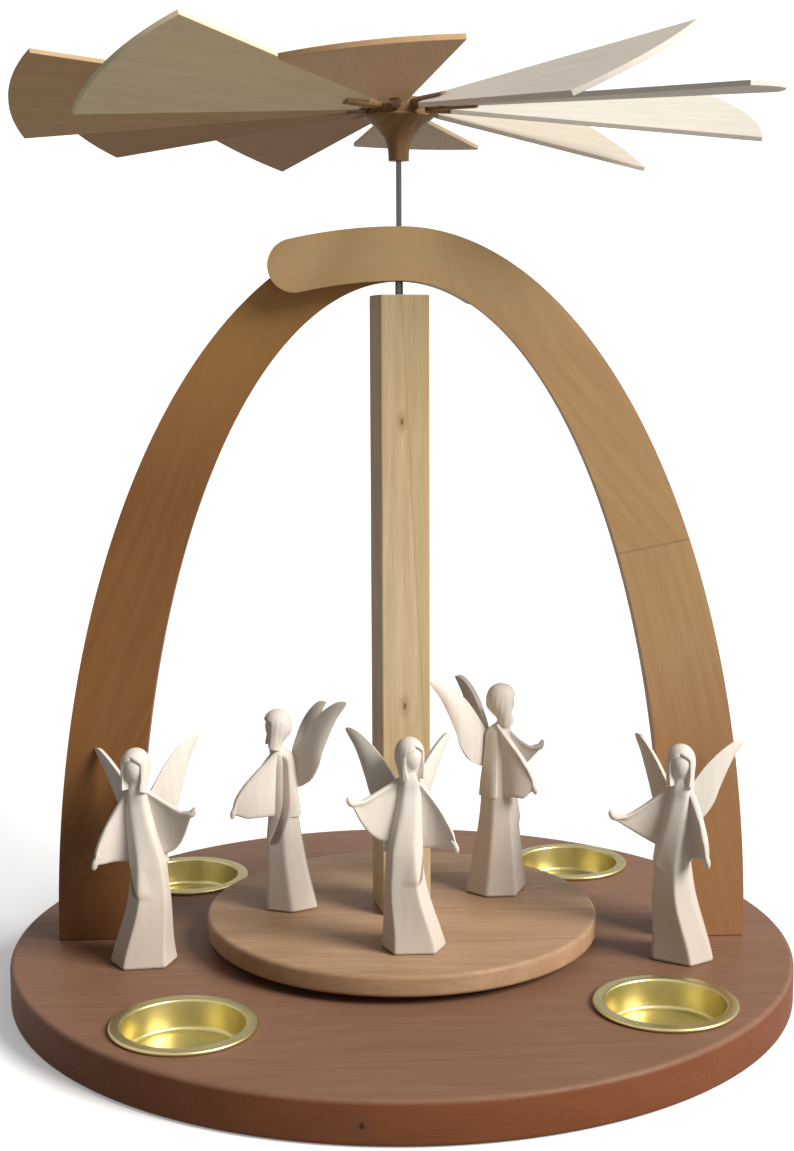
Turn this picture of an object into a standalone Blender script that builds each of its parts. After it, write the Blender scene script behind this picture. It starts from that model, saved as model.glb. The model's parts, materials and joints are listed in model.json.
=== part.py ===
"""Christmas pyramid: a candle carousel with carved angels, an arch and a paddle wheel.

Blender 4.5 script in metres, +Z up. The origin is the centre of the base's underside.
The arch stands in the XZ plane, and -Y is the front. The rotor turns about +Z: the
turntable with three angels, the post, the shaft, the hub and the paddles. Each paddle
also turns with its stem about the stem's own radial axis.
"""

import math
from collections import namedtuple

import bmesh
import bpy
from mathutils import Matrix, Vector

# Fits
SEAT_GAP = 0.0003
BOOLEAN_OVERSHOOT = 0.002

# Base plate
BASE_DIAMETER = 0.285
BASE_THICKNESS = 0.015
BASE_EDGE_ROUND = 0.0018
BASE_SIDES = 80

# Tealight cups, let into the base
CUP_EDGE_DISTANCE = 0.0301
CUP_RING_TURN = math.radians(3.5)
CUP_MOUTH_DIAMETER = 0.041
CUP_FLOOR_DIAMETER = 0.0386
CUP_DEPTH = 0.0102
CUP_RIM_DIAMETER = 0.0486
CUP_FLOOR_ROUND = 0.0014
CUP_RIM_ROLL = 0.0008
CUP_SHEET = 0.0005
CUP_SIDES = 24

# Arch of two lapped arms
ARCH_OUTER_HALF_WIDTH = 0.1265
ARCH_OUTER_HEIGHT = 0.2584
ARCH_FOOT_WIDTH = 0.0295
ARCH_CROWN_DEPTH = 0.0187
ARM_THICKNESS = 0.008
ARM_EDGE_ROUND = 0.0007
FRONT_LAP_REACH = 0.0370
FRONT_LAP_DROOP = 3.0
REAR_LAP_REACH = 0.0280
ARM_STEPS = 24
LAP_STEPS = 6
END_STEPS = 10

# Screws that hold the arms' feet
SCREW_SPACING = 0.016
SCREW_SHANK_DIAMETER = 0.0028
SCREW_HEAD_DIAMETER = 0.0060
SCREW_HEAD_HEIGHT = 0.0018
SCREW_GRIP = 0.0090
SCREW_RECESS = 0.0005

# Turntable
TURNTABLE_DIAMETER = 0.1437
TURNTABLE_THICKNESS = 0.0077
TURNTABLE_LIFT = 0.0032
TURNTABLE_EDGE_ROUND = 0.0014
TURNTABLE_SIDES = 64

# Post
POST_SIDE = 0.0179
POST_TURN = math.radians(10.7)
POST_TOP_GAP = 0.0048
POST_EDGE_ROUND = 0.0006
TENON_DIAMETER = 0.0100

# Shaft, guide bush, pivot pin and bearing
SHAFT_DIAMETER = 0.0020
SHAFT_SHOULDER_DIAMETER = 0.0028
SHAFT_SOCKET_DEPTH = 0.0250
BUSH_DIAMETER = 0.0044
BUSH_BORE = 0.0026
PIN_DIAMETER = 0.0030
PIN_POINT_LENGTH = 0.0040
PIN_POINT_RADIUS = 0.0003
PIN_SOCKET_DEPTH = 0.0110
BEARING_DIAMETER = 0.0100
BEARING_HEIGHT = 0.0050
BEARING_DISH_DEPTH = 0.0018
BEARING_DISH_DIAMETER = 0.0070

# Hub
HUB_NECK_DIAMETER = 0.0072
HUB_FLANGE_DIAMETER = 0.0248
HUB_DRUM_DIAMETER = 0.0212
HUB_NECK_CLEARANCE = 0.0229
HUB_TRUMPET_HEIGHT = 0.0146
HUB_FLANGE_THICKNESS = 0.0009
HUB_DRUM_HEIGHT = 0.0062
HUB_TOP_CROWN = 0.0010
HUB_SIDES = 24
TRUMPET_POWER = 2.8
TRUMPET_STEPS = 8

# Paddles and their stems
PADDLE_COUNT = 10
PADDLE_FIRST_DIRECTION = math.radians(-24.0)
PADDLE_PITCH_DEGREES = (5, 24, 32, 2, 23, 21, 24, 27, 5, 27)
PADDLE_ROOT_RADIUS = 0.0180
PADDLE_ROOT_WIDTH = 0.0080
PADDLE_CORNER_RADIUS = 0.1272
PADDLE_TIP_WIDTH = 0.0528
PADDLE_TIP_CROWN = 0.0060
PADDLE_THICKNESS = 0.0018
PADDLE_TIP_STEPS = 12
STEM_DIAMETER = 0.0040
STEM_END_RADIUS = 0.0290
STEM_PEG_DIAMETER = 0.0024
STEM_PEG_DEPTH = 0.0042
STEM_SLOT_GAP = 0.0002
STEM_SIDES = 10

# Angels: widths and depths are measured from the axis of the waist
ANGEL_HEIGHT = 0.0776
ANGEL_HEM_HALF_WIDTH = 0.0120
ANGEL_HEM_FRONT = 0.0077
ANGEL_HEM_BACK = 0.0120
ANGEL_WAIST_HALF_WIDTH = 0.0069
ANGEL_WAIST_DEPTH = 0.0060
ANGEL_SHOULDER_HALF_WIDTH = 0.0052
ANGEL_SHOULDER_DEPTH = 0.0042
ANGEL_COLLAR_RADIUS = 0.0030
ANGEL_CAPE_HEM = 0.0350
ANGEL_SHOULDER_HEIGHT = 0.0600
ANGEL_COLLAR_HEIGHT = 0.0632
ANGEL_FRONT_SHARE = 0.62
ANGEL_FLARE_POWER = 1.5
PANEL_TIP_HEIGHT = 0.0240
PANEL_FULL_HEIGHT = 0.0440
PANEL_HALF_WIDTH = 0.0032
PANEL_RISE = 0.0012
SLEEVE_THICKNESS = 0.0022
SLEEVE_BOW = 0.0012
HEAD_HALF_WIDTH = 0.0052
HEAD_DEPTH_SHARE = 1.10
HEAD_FORWARD = 0.0013
FACE_HALF_WIDTH = 0.0035
FACE_HALF_HEIGHT = 0.0058
NECK_DIAMETER = 0.0046
WING_REACH = 0.0215
WING_RISE = 0.0305
WING_SPREAD = math.radians(53.0)
WING_THICKNESS = 0.0016
WING_BOW = 0.0020
WING_ROOT_HEIGHT = 0.0465
WING_ROOT_OFFSET = 0.0022
WING_LOWER_EDGE = ((0.0, 0.0), (0.24, 0.08), (0.44, 0.26), (0.60, 0.48), (0.80, 0.76), (0.97, 0.96))
WING_UPPER_EDGE = ((0.0, 0.43), (0.15, 0.58), (0.36, 0.77), (0.60, 0.90), (0.84, 0.99), (1.0, 1.0))

# Places of the angels: on the stand, inside the middle of an arch foot and in front of the arms
LEFT_ANGEL_INSET = 0.0180
LEFT_ANGEL_DISTANCE = 0.0158
RIGHT_ANGEL_INSET = 0.0130
RIGHT_ANGEL_DISTANCE = 0.0218
# On the turntable, from its axis
CENTRE_ANGEL_RADIUS = 0.0451
BACK_LEFT_ANGEL_RADIUS = 0.0432
BACK_RIGHT_ANGEL_RADIUS = 0.0430

# Heights and radii that follow from the sizes above
BASE_RADIUS = BASE_DIAMETER / 2
CUP_RING_RADIUS = BASE_RADIUS - CUP_EDGE_DISTANCE
ARCH_INNER_HALF_WIDTH = ARCH_OUTER_HALF_WIDTH - ARCH_FOOT_WIDTH
ARCH_INNER_HEIGHT = ARCH_OUTER_HEIGHT - ARCH_CROWN_DEPTH
ARCH_FOOT_Z = BASE_THICKNESS + SEAT_GAP
ARCH_TOP_Z = ARCH_FOOT_Z + ARCH_OUTER_HEIGHT
ARCH_UNDERSIDE_Z = ARCH_FOOT_Z + ARCH_INNER_HEIGHT
ARM_PLANE_OFFSET = ARM_THICKNESS / 2 + SEAT_GAP / 2
ARM_FRONT_Y = -ARM_PLANE_OFFSET - ARM_THICKNESS / 2
FOOT_MIDDLE = (ARCH_OUTER_HALF_WIDTH + ARCH_INNER_HALF_WIDTH) / 2
TURNTABLE_BOTTOM_Z = BASE_THICKNESS + TURNTABLE_LIFT
TURNTABLE_TOP_Z = TURNTABLE_BOTTOM_Z + TURNTABLE_THICKNESS
POST_BOTTOM_Z = TURNTABLE_TOP_Z + SEAT_GAP
POST_TOP_Z = ARCH_UNDERSIDE_Z - POST_TOP_GAP
HUB_NECK_Z = ARCH_TOP_Z + HUB_NECK_CLEARANCE
HUB_FLANGE_Z = HUB_NECK_Z + HUB_TRUMPET_HEIGHT
HUB_DRUM_Z = HUB_FLANGE_Z + HUB_FLANGE_THICKNESS
HUB_TOP_Z = HUB_DRUM_Z + HUB_DRUM_HEIGHT
STEM_AXIS_Z = HUB_DRUM_Z + HUB_DRUM_HEIGHT / 2
HUB_BORE_TOP_Z = HUB_TOP_Z - HUB_DRUM_HEIGHT / 3

# A hand's place is sideways from the axis, forwards and up, and an angel's lean is how far its top
# moves over: all in shares of the figure's height. Power shapes the sleeve's upper edge.
Hand = namedtuple("Hand", "side forward height power")
Angel = namedtuple(
    "Angel", "name carrier place heading size lean head_turn wing_roll left_hand right_hand")
RAISED_POWER = 3.0
LOWERED_POWER = 0.8


def polar(radius, angle):
    return Vector((radius * math.cos(angle), radius * math.sin(angle)))


ANGELS = (
    Angel("angel_left", "stand", (LEFT_ANGEL_INSET - FOOT_MIDDLE, ARM_FRONT_Y - LEFT_ANGEL_DISTANCE),
          -98.0, 1.0077, (0.0, 0.0), -10.0, -8.0,
          Hand(0.2835, 0.0644, 0.7126, RAISED_POWER), Hand(0.1740, 0.1095, 0.4665, LOWERED_POWER)),
    Angel("angel_right", "stand", (FOOT_MIDDLE - RIGHT_ANGEL_INSET, ARM_FRONT_Y - RIGHT_ANGEL_DISTANCE),
          -104.0, 1.0064, (-0.0232, 0.0), 0.0, 3.0,
          Hand(0.1134, 0.1353, 0.4665, LOWERED_POWER), Hand(0.3222, 0.0644, 0.6701, RAISED_POWER)),
    Angel("angel_centre", "rotor", polar(CENTRE_ANGEL_RADIUS, math.radians(-86.6)),
          -76.0, 0.9639, (-0.0438, 0.0), 12.0, 5.0,
          Hand(0.1933, 0.1095, 0.4794, LOWERED_POWER), Hand(0.2899, 0.0644, 0.7320, RAISED_POWER)),
    Angel("angel_back_left", "rotor", polar(BACK_LEFT_ANGEL_RADIUS, math.radians(173.4)),
          -169.0, 0.9562, (0.0, 0.0180), 0.0, -11.0,
          Hand(0.0773, 0.2642, 0.4768, LOWERED_POWER), Hand(0.1418, 0.1546, 0.5155, LOWERED_POWER)),
    Angel("angel_back_right", "rotor", polar(BACK_RIGHT_ANGEL_RADIUS, math.radians(24.8)),
          -18.0, 1.0309, (0.0, -0.0232), 16.0, 8.0,
          Hand(0.1997, 0.1753, 0.6894, RAISED_POWER), Hand(0.0902, 0.2062, 0.5155, LOWERED_POWER)),
)

parts = None
cutters = None


def clear_scene():
    for leftover in list(bpy.data.objects):
        bpy.data.objects.remove(leftover, do_unlink=True)


def make_collections():
    global parts, cutters
    parts = bpy.data.collections.new("christmas_pyramid")
    cutters = bpy.data.collections.new("cutters")
    for collection in (parts, cutters):
        bpy.context.scene.collection.children.link(collection)


def make_material(name, colour, roughness, metallic=0.0):
    material = bpy.data.materials.new(name)
    material.use_nodes = True
    shader = material.node_tree.nodes["Principled BSDF"]
    shader.inputs["Base Color"].default_value = (*colour, 1.0)
    shader.inputs["Roughness"].default_value = roughness
    shader.inputs["Metallic"].default_value = metallic
    return material


def place(obj, parent=None, location=(0, 0, 0), rotation=(0, 0, 0)):
    obj.parent = parent
    obj.location = location
    obj.rotation_euler = rotation
    return obj


def add_empty(name, parent=None, location=(0, 0, 0), rotation=(0, 0, 0)):
    empty = bpy.data.objects.new(name, None)
    parts.objects.link(empty)
    return place(empty, parent, location, rotation)


def add_part(name, mesh, material, parent=None, location=(0, 0, 0), rotation=(0, 0, 0)):
    if not mesh.materials:
        mesh.materials.append(material)
    obj = bpy.data.objects.new(name, mesh)
    parts.objects.link(obj)
    return place(obj, parent, location, rotation)


def shade_round(mesh):
    mesh.shade_smooth()
    mesh.set_sharp_from_angle(angle=math.radians(35))


def mesh_from(bm, name):
    mesh = bpy.data.meshes.new(name)
    bm.to_mesh(mesh)
    bm.free()
    return mesh


def cylinder_mesh(name, radius, bottom, top, sides, top_radius=None):
    bm = bmesh.new()
    bmesh.ops.create_cone(
        bm, cap_ends=True, segments=sides, radius1=radius,
        radius2=radius if top_radius is None else top_radius, depth=top - bottom,
        matrix=Matrix.Translation((0, 0, (top + bottom) / 2)),
    )
    mesh = mesh_from(bm, name)
    shade_round(mesh)
    return mesh


def box_mesh(name, size, centre):
    bm = bmesh.new()
    shape = Matrix.Translation(centre) @ Matrix.Diagonal((*size, 1.0))
    bmesh.ops.create_cube(bm, size=1.0, matrix=shape)
    return mesh_from(bm, name)


def ball_mesh(name, radii, centre, around, along):
    bm = bmesh.new()
    shape = Matrix.Translation(centre) @ Matrix.Diagonal((*radii, 1.0))
    bmesh.ops.create_uvsphere(bm, u_segments=around, v_segments=along, radius=1.0, matrix=shape)
    mesh = mesh_from(bm, name)
    shade_round(mesh)
    return mesh


def add_cutter(name, mesh, location=(0, 0, 0), rotation=(0, 0, 0)):
    cutter = bpy.data.objects.new(name, mesh)
    cutters.objects.link(cutter)
    cutter.hide_render = True
    cutter.display_type = "WIRE"
    return place(cutter, None, location, rotation)


def combine(obj, other, operation):
    boolean = obj.modifiers.new(other.name, "BOOLEAN")
    boolean.operation = operation
    boolean.object = other
    return obj


def cut(obj, *others):
    for other in others:
        combine(obj, other, "DIFFERENCE")
    return obj


def add_edge_round(obj, width, segments=2):
    bevel = obj.modifiers.new("edge_round", "BEVEL")
    bevel.limit_method = "ANGLE"
    bevel.angle_limit = math.radians(40)
    bevel.width = width
    bevel.segments = segments
    return obj


def add_turning(obj, sides):
    screw = obj.modifiers.new("turning", "SCREW")
    screw.steps = sides
    screw.render_steps = sides
    screw.use_merge_vertices = True
    screw.merge_threshold = 0.00001
    return obj


def profile_mesh(name, points, closed=False):
    """A profile at +X, which runs down its outer side."""
    bm = bmesh.new()
    corners = [bm.verts.new((radius, 0.0, height)) for radius, height in points]
    for first, second in zip(corners, corners[1:]):
        bm.edges.new((first, second))
    if closed:
        bm.edges.new((corners[-1], corners[0]))
    return mesh_from(bm, name)


def evaluated_mesh(obj, name):
    """The object's mesh with its modifiers applied, for copies to share."""
    bpy.context.view_layer.update()
    graph = bpy.context.evaluated_depsgraph_get()
    mesh = bpy.data.meshes.new_from_object(obj.evaluated_get(graph))
    mesh.name = name
    shade_round(mesh)
    return mesh


def shared_mesh(obj, name, *helpers):
    mesh = evaluated_mesh(obj, name)
    for used in (obj, *helpers):
        bpy.data.objects.remove(used, do_unlink=True)
    return mesh


def plate_mesh(name, outline, thickness):
    """A flat plate in XY, thickness centred on Z, from an outline drawn as a filled curve."""
    curve = bpy.data.curves.new(name, "CURVE")
    curve.dimensions = "2D"
    curve.fill_mode = "BOTH"
    curve.extrude = thickness / 2
    spline = curve.splines.new("POLY")
    spline.points.add(len(outline) - 1)
    for point, (x, y) in zip(spline.points, outline):
        point.co = (x, y, 0.0, 1.0)
    spline.use_cyclic_u = True
    drawn = bpy.data.objects.new(name, curve)
    cutters.objects.link(drawn)
    mesh = shared_mesh(drawn, name)
    bm = bmesh.new()
    bm.from_mesh(mesh)
    bmesh.ops.remove_doubles(bm, verts=bm.verts, dist=0.00001)
    bmesh.ops.dissolve_limit(bm, angle_limit=math.radians(0.05), verts=bm.verts, edges=bm.edges)
    bmesh.ops.recalc_face_normals(bm, faces=bm.faces)
    bm.to_mesh(mesh)
    bm.free()
    return mesh


def loft_mesh(name, rings):
    """A closed skin over rings of as many points each, capped at both ends."""
    bm = bmesh.new()
    rows = [[bm.verts.new(point) for point in ring] for ring in rings]
    count = len(rows[0])
    for lower, upper in zip(rows, rows[1:]):
        for index in range(count):
            after = (index + 1) % count
            bm.faces.new((lower[index], lower[after], upper[after], upper[index]))
    bm.faces.new(reversed(rows[0]))
    bm.faces.new(rows[-1])
    bmesh.ops.recalc_face_normals(bm, faces=bm.faces)
    return mesh_from(bm, name)


def sheet_mesh(name, rows):
    """An open sheet over rows of points, for Solidify to give its thickness."""
    bm = bmesh.new()
    grid = [[bm.verts.new(point) for point in row] for row in rows]
    for lower, upper in zip(grid, grid[1:]):
        for index in range(len(lower) - 1):
            bm.faces.new((lower[index], lower[index + 1], upper[index + 1], upper[index]))
    return mesh_from(bm, name)


def arc_points(centre, radius, start, end, steps):
    turns = (start + (end - start) * step / steps for step in range(steps + 1))
    return [tuple(Vector(centre) + polar(radius, turn)) for turn in turns]


def cup_places():
    for name, quarter in (("front_right", -1), ("back_right", 1), ("back_left", 3), ("front_left", 5)):
        yield name, polar(CUP_RING_RADIUS, CUP_RING_TURN + quarter * math.pi / 4)


def screw_places():
    """Two screws in each foot: the front arm's foot is at +X, the rear arm's at -X."""
    for side, foot in ((1, "front"), (-1, "rear")):
        for end, place_name in ((1, "outer"), (-1, "inner")):
            x = side * (FOOT_MIDDLE + end * SCREW_SPACING / 2)
            yield f"foot_screw_{foot}_{place_name}", (x, -side * ARM_PLANE_OFFSET)


# Base

def make_base(stain):
    mesh = cylinder_mesh("base_plate", BASE_RADIUS, 0.0, BASE_THICKNESS, BASE_SIDES)
    base = add_part("base_plate", mesh, stain)
    add_edge_round(base, BASE_EDGE_ROUND)
    pocket_radius = CUP_MOUTH_DIAMETER / 2 + CUP_SHEET + SEAT_GAP
    pocket_floor = cup_floor_z() - CUP_SHEET - SEAT_GAP
    top = BASE_THICKNESS + BOOLEAN_OVERSHOOT
    pocket = cylinder_mesh("cup_pocket", pocket_radius, pocket_floor, top, CUP_SIDES)
    for name, (x, y) in cup_places():
        cut(base, add_cutter(f"cup_pocket_{name}", pocket, (x, y, 0.0)))
    seat = cylinder_mesh(
        "bearing_pocket", BEARING_DIAMETER / 2 + SEAT_GAP,
        BASE_THICKNESS - BEARING_HEIGHT - SEAT_GAP, top, 16,
    )
    cut(base, add_cutter("bearing_pocket", seat))
    hole = screw_hole_mesh()
    for name, (x, y) in screw_places():
        cut(base, add_cutter(f"hole_for_{name}", hole, (x, y, 0.0)))
    return base


def screw_hole_mesh():
    """A clearance hole through the base with its countersink below."""
    shank = SCREW_SHANK_DIAMETER / 2 + SEAT_GAP
    head = SCREW_HEAD_DIAMETER / 2 + SEAT_GAP
    cone_top = SCREW_RECESS + SCREW_HEAD_HEIGHT + SEAT_GAP
    profile = (
        (0.0, BASE_THICKNESS + BOOLEAN_OVERSHOOT), (shank, BASE_THICKNESS + BOOLEAN_OVERSHOOT),
        (shank, cone_top), (head, SCREW_RECESS), (head, -BOOLEAN_OVERSHOOT),
        (0.0, -BOOLEAN_OVERSHOOT),
    )
    turned = add_turning(add_cutter("screw_hole_profile", profile_mesh("screw_hole", profile)), 10)
    return shared_mesh(turned, "screw_hole")


def make_screws(steel):
    shank = SCREW_SHANK_DIAMETER / 2
    head = SCREW_HEAD_DIAMETER / 2
    top = ARCH_FOOT_Z + SCREW_GRIP
    profile = (
        (0.0, top), (shank / 3, top), (shank, top - 2 * SCREW_SHANK_DIAMETER),
        (shank, SCREW_RECESS + SCREW_HEAD_HEIGHT), (head, SCREW_RECESS + SEAT_GAP),
        (head, SCREW_RECESS), (0.0, SCREW_RECESS),
    )
    turned = add_turning(add_cutter("screw_profile", profile_mesh("screw_profile", profile)), 10)
    mesh = shared_mesh(turned, "foot_screw")
    for name, (x, y) in screw_places():
        add_part(name, mesh, steel, None, (x, y, 0.0))


def cup_rim_z():
    """The rim's upper face: its rolled edge stands on the base."""
    return BASE_THICKNESS + SEAT_GAP + CUP_RIM_ROLL + CUP_SHEET


def cup_floor_z():
    return cup_rim_z() - CUP_DEPTH


def make_cups(brass):
    mouth = CUP_MOUTH_DIAMETER / 2
    floor = CUP_FLOOR_DIAMETER / 2
    rim = CUP_RIM_DIAMETER / 2
    rim_z = cup_rim_z()
    floor_z = cup_floor_z()
    profile = [(0.0, floor_z), (floor - CUP_FLOOR_ROUND, floor_z), (floor, floor_z + CUP_FLOOR_ROUND)]
    profile += [(mouth - CUP_SHEET, rim_z - CUP_SHEET), (mouth + CUP_SHEET, rim_z)]
    roll_centre = (rim - CUP_RIM_ROLL, rim_z - CUP_RIM_ROLL)
    profile += arc_points(roll_centre, CUP_RIM_ROLL, math.pi / 2, 0.0, 2)
    turned = add_turning(add_cutter("cup_profile", profile_mesh("cup_profile", profile)), CUP_SIDES)
    shell = turned.modifiers.new("sheet", "SOLIDIFY")
    shell.thickness = CUP_SHEET
    shell.offset = -1.0
    mesh = shared_mesh(turned, "tealight_cup")
    for name, (x, y) in cup_places():
        add_part(f"tealight_cup_{name}", mesh, brass, None, (x, y, 0.0))


# Arch

def arch_point(half_width, height, angle):
    return Vector((half_width * math.cos(angle), ARCH_FOOT_Z + height * math.sin(angle)))


def arch_edge(half_width, height, start, end, steps):
    turns = (start + (end - start) * step / steps for step in range(steps + 1))
    return [tuple(arch_point(half_width, height, turn)) for turn in turns]


def round_end(first, last, steps):
    """A half circle from the first point to the last, both left out."""
    centre = (first + last) / 2
    spoke = first - centre
    start = math.atan2(spoke.y, spoke.x)
    return [tuple(centre + polar(spoke.length, start + math.pi * step / steps))
            for step in range(1, steps)]


def front_arm_outline():
    """The leg at +X follows two ellipses, and past the apex a drooping bar ends round."""
    outline = arch_edge(ARCH_OUTER_HALF_WIDTH, ARCH_OUTER_HEIGHT, 0.0, math.pi / 2, ARM_STEPS)
    half_depth = (ARCH_TOP_Z - ARCH_UNDERSIDE_Z) / 2
    middle_z = (ARCH_TOP_Z + ARCH_UNDERSIDE_Z) / 2
    upper, lower = [], []
    for step in range(1, LAP_STEPS + 1):
        x = -FRONT_LAP_REACH * step / LAP_STEPS
        middle = Vector((x, middle_z - FRONT_LAP_DROOP * x * x))
        across = Vector((2 * FRONT_LAP_DROOP * x, 1.0)).normalized() * half_depth
        upper.append(middle + across)
        lower.append(middle - across)
    outline += [tuple(point) for point in upper]
    outline += round_end(upper[-1], lower[-1], END_STEPS)
    outline += [tuple(point) for point in reversed(lower)]
    outline += arch_edge(ARCH_INNER_HALF_WIDTH, ARCH_INNER_HEIGHT, math.pi / 2, 0.0, ARM_STEPS)
    return outline


def rear_arm_outline():
    """The leg at -X follows the same ellipses to a round end behind the front arm."""
    middle_half_width = (ARCH_OUTER_HALF_WIDTH + ARCH_INNER_HALF_WIDTH) / 2
    end_angle = math.acos(REAR_LAP_REACH / middle_half_width)
    steps = ARM_STEPS + LAP_STEPS
    outer = arch_edge(ARCH_OUTER_HALF_WIDTH, ARCH_OUTER_HEIGHT, math.pi, end_angle, steps)
    inner = arch_edge(ARCH_INNER_HALF_WIDTH, ARCH_INNER_HEIGHT, end_angle, math.pi, steps)
    start, end = Vector(inner[0]), Vector(outer[-1])
    return outer + list(reversed(round_end(start, end, END_STEPS))) + inner


def make_arm(name, outline, plane_y, wood):
    mesh = plate_mesh(name, outline, ARM_THICKNESS)
    mesh.transform(Matrix.Rotation(math.pi / 2, 4, "X"))
    arm = add_part(name, mesh, wood, None, (0.0, plane_y, 0.0))
    return add_edge_round(arm, ARM_EDGE_ROUND, 1)


def make_arch(wood):
    arms = {
        "front": make_arm("arch_arm_front", front_arm_outline(), -ARM_PLANE_OFFSET, wood),
        "rear": make_arm("arch_arm_rear", rear_arm_outline(), ARM_PLANE_OFFSET, wood),
    }
    bore = cylinder_mesh(
        "bush_bore", BUSH_DIAMETER / 2 + SEAT_GAP, ARCH_UNDERSIDE_Z - BOOLEAN_OVERSHOOT,
        ARCH_TOP_Z + BOOLEAN_OVERSHOOT, 16,
    )
    bore_cutter = add_cutter("bush_bore", bore)
    pilot = cylinder_mesh(
        "pilot_hole", SCREW_SHANK_DIAMETER / 2 + SEAT_GAP, BASE_THICKNESS - BOOLEAN_OVERSHOOT,
        ARCH_FOOT_Z + SCREW_GRIP + SEAT_GAP, 10,
    )
    for arm in arms.values():
        cut(arm, bore_cutter)
    for name, (x, y) in screw_places():
        foot = "front" if x > 0 else "rear"
        cut(arms[foot], add_cutter(f"pilot_for_{name}", pilot, (x, y, 0.0)))


def make_bush(brass):
    outer, inner = BUSH_DIAMETER / 2, BUSH_BORE / 2
    top, bottom = ARCH_TOP_Z - SEAT_GAP, ARCH_UNDERSIDE_Z + SEAT_GAP
    profile = ((outer, top), (outer, bottom), (inner, bottom), (inner, top))
    mesh = profile_mesh("guide_bush", profile, closed=True)
    add_turning(add_part("guide_bush", mesh, brass), 16)


# Bearing and pin

def make_bearing(glass, steel):
    top = BASE_THICKNESS
    dish_z = top - BEARING_DISH_DEPTH
    bearing = (
        (0.0, dish_z), (PIN_POINT_RADIUS * 2, dish_z), (BEARING_DISH_DIAMETER / 2, top),
        (BEARING_DIAMETER / 2, top), (BEARING_DIAMETER / 2, top - BEARING_HEIGHT),
        (0.0, top - BEARING_HEIGHT),
    )
    add_turning(add_part("pivot_bearing", profile_mesh("pivot_bearing", bearing), glass), 16)
    tip_z = dish_z + SEAT_GAP
    shank = PIN_DIAMETER / 2
    pin_top = TURNTABLE_BOTTOM_Z + PIN_SOCKET_DEPTH - SEAT_GAP
    pin = (
        (0.0, pin_top), (shank, pin_top), (shank, tip_z + PIN_POINT_LENGTH),
        (PIN_POINT_RADIUS, tip_z), (0.0, tip_z),
    )
    return add_turning(add_part("pivot_pin", profile_mesh("pivot_pin", pin), steel), 12)


# Rotor

def make_turntable(wood, rotor):
    radius = TURNTABLE_DIAMETER / 2
    mesh = cylinder_mesh("turntable", radius, TURNTABLE_BOTTOM_Z, TURNTABLE_TOP_Z, TURNTABLE_SIDES)
    table = add_part("turntable", mesh, wood, rotor)
    add_edge_round(table, TURNTABLE_EDGE_ROUND)
    hole = cylinder_mesh(
        "tenon_hole", TENON_DIAMETER / 2 + SEAT_GAP, TURNTABLE_BOTTOM_Z - BOOLEAN_OVERSHOOT,
        TURNTABLE_TOP_Z + BOOLEAN_OVERSHOOT, 20,
    )
    return cut(table, add_cutter("tenon_hole", hole))


def make_post(wood, rotor):
    length = POST_TOP_Z - POST_BOTTOM_Z
    centre = (0.0, 0.0, POST_BOTTOM_Z + length / 2)
    mesh = box_mesh("post", (POST_SIDE, POST_SIDE, length), centre)
    post = add_part("post", mesh, wood, rotor, (0, 0, 0), (0, 0, POST_TURN))
    add_edge_round(post, POST_EDGE_ROUND)
    tenon = cylinder_mesh(
        "post_tenon", TENON_DIAMETER / 2, TURNTABLE_BOTTOM_Z, POST_BOTTOM_Z + BOOLEAN_OVERSHOOT, 20,
    )
    combine(post, add_cutter("post_tenon", tenon), "UNION")
    socket = cylinder_mesh(
        "shaft_socket", SHAFT_SHOULDER_DIAMETER / 2 + SEAT_GAP, POST_TOP_Z - SHAFT_SOCKET_DEPTH,
        POST_TOP_Z + BOOLEAN_OVERSHOOT, 12,
    )
    pin_socket = cylinder_mesh(
        "pin_socket", PIN_DIAMETER / 2 + SEAT_GAP, TURNTABLE_BOTTOM_Z - BOOLEAN_OVERSHOOT,
        TURNTABLE_BOTTOM_Z + PIN_SOCKET_DEPTH, 12,
    )
    return cut(post, add_cutter("shaft_socket", socket), add_cutter("pin_socket", pin_socket))


def make_shaft(steel, rotor):
    """The rod is thicker below the arch, so that its shoulder stops under the bush."""
    rod, shoulder = SHAFT_DIAMETER / 2, SHAFT_SHOULDER_DIAMETER / 2
    shoulder_z = ARCH_UNDERSIDE_Z - SEAT_GAP
    top = HUB_BORE_TOP_Z - SEAT_GAP
    bottom = POST_TOP_Z - SHAFT_SOCKET_DEPTH + SEAT_GAP
    profile = ((0.0, top), (rod, top), (rod, shoulder_z), (shoulder, shoulder_z),
               (shoulder, bottom), (0.0, bottom))
    return add_turning(add_part("shaft", profile_mesh("shaft", profile), steel, rotor), 12)


def hub_profile():
    neck, flange, drum = HUB_NECK_DIAMETER / 2, HUB_FLANGE_DIAMETER / 2, HUB_DRUM_DIAMETER / 2
    profile = [(0.0, HUB_TOP_Z), (0.6 * drum, HUB_TOP_Z - 0.2 * HUB_TOP_CROWN)]
    profile += [(drum, HUB_TOP_Z - HUB_TOP_CROWN), (drum, HUB_DRUM_Z), (flange, HUB_DRUM_Z)]
    for step in range(TRUMPET_STEPS + 1):
        share = 1 - step / TRUMPET_STEPS
        radius = neck + (flange - neck) * share ** TRUMPET_POWER
        profile.append((radius, HUB_NECK_Z + HUB_TRUMPET_HEIGHT * share))
    profile.append((0.0, HUB_NECK_Z))
    return profile


def paddle_direction(index):
    return PADDLE_FIRST_DIRECTION + 2 * math.pi * index / PADDLE_COUNT


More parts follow.
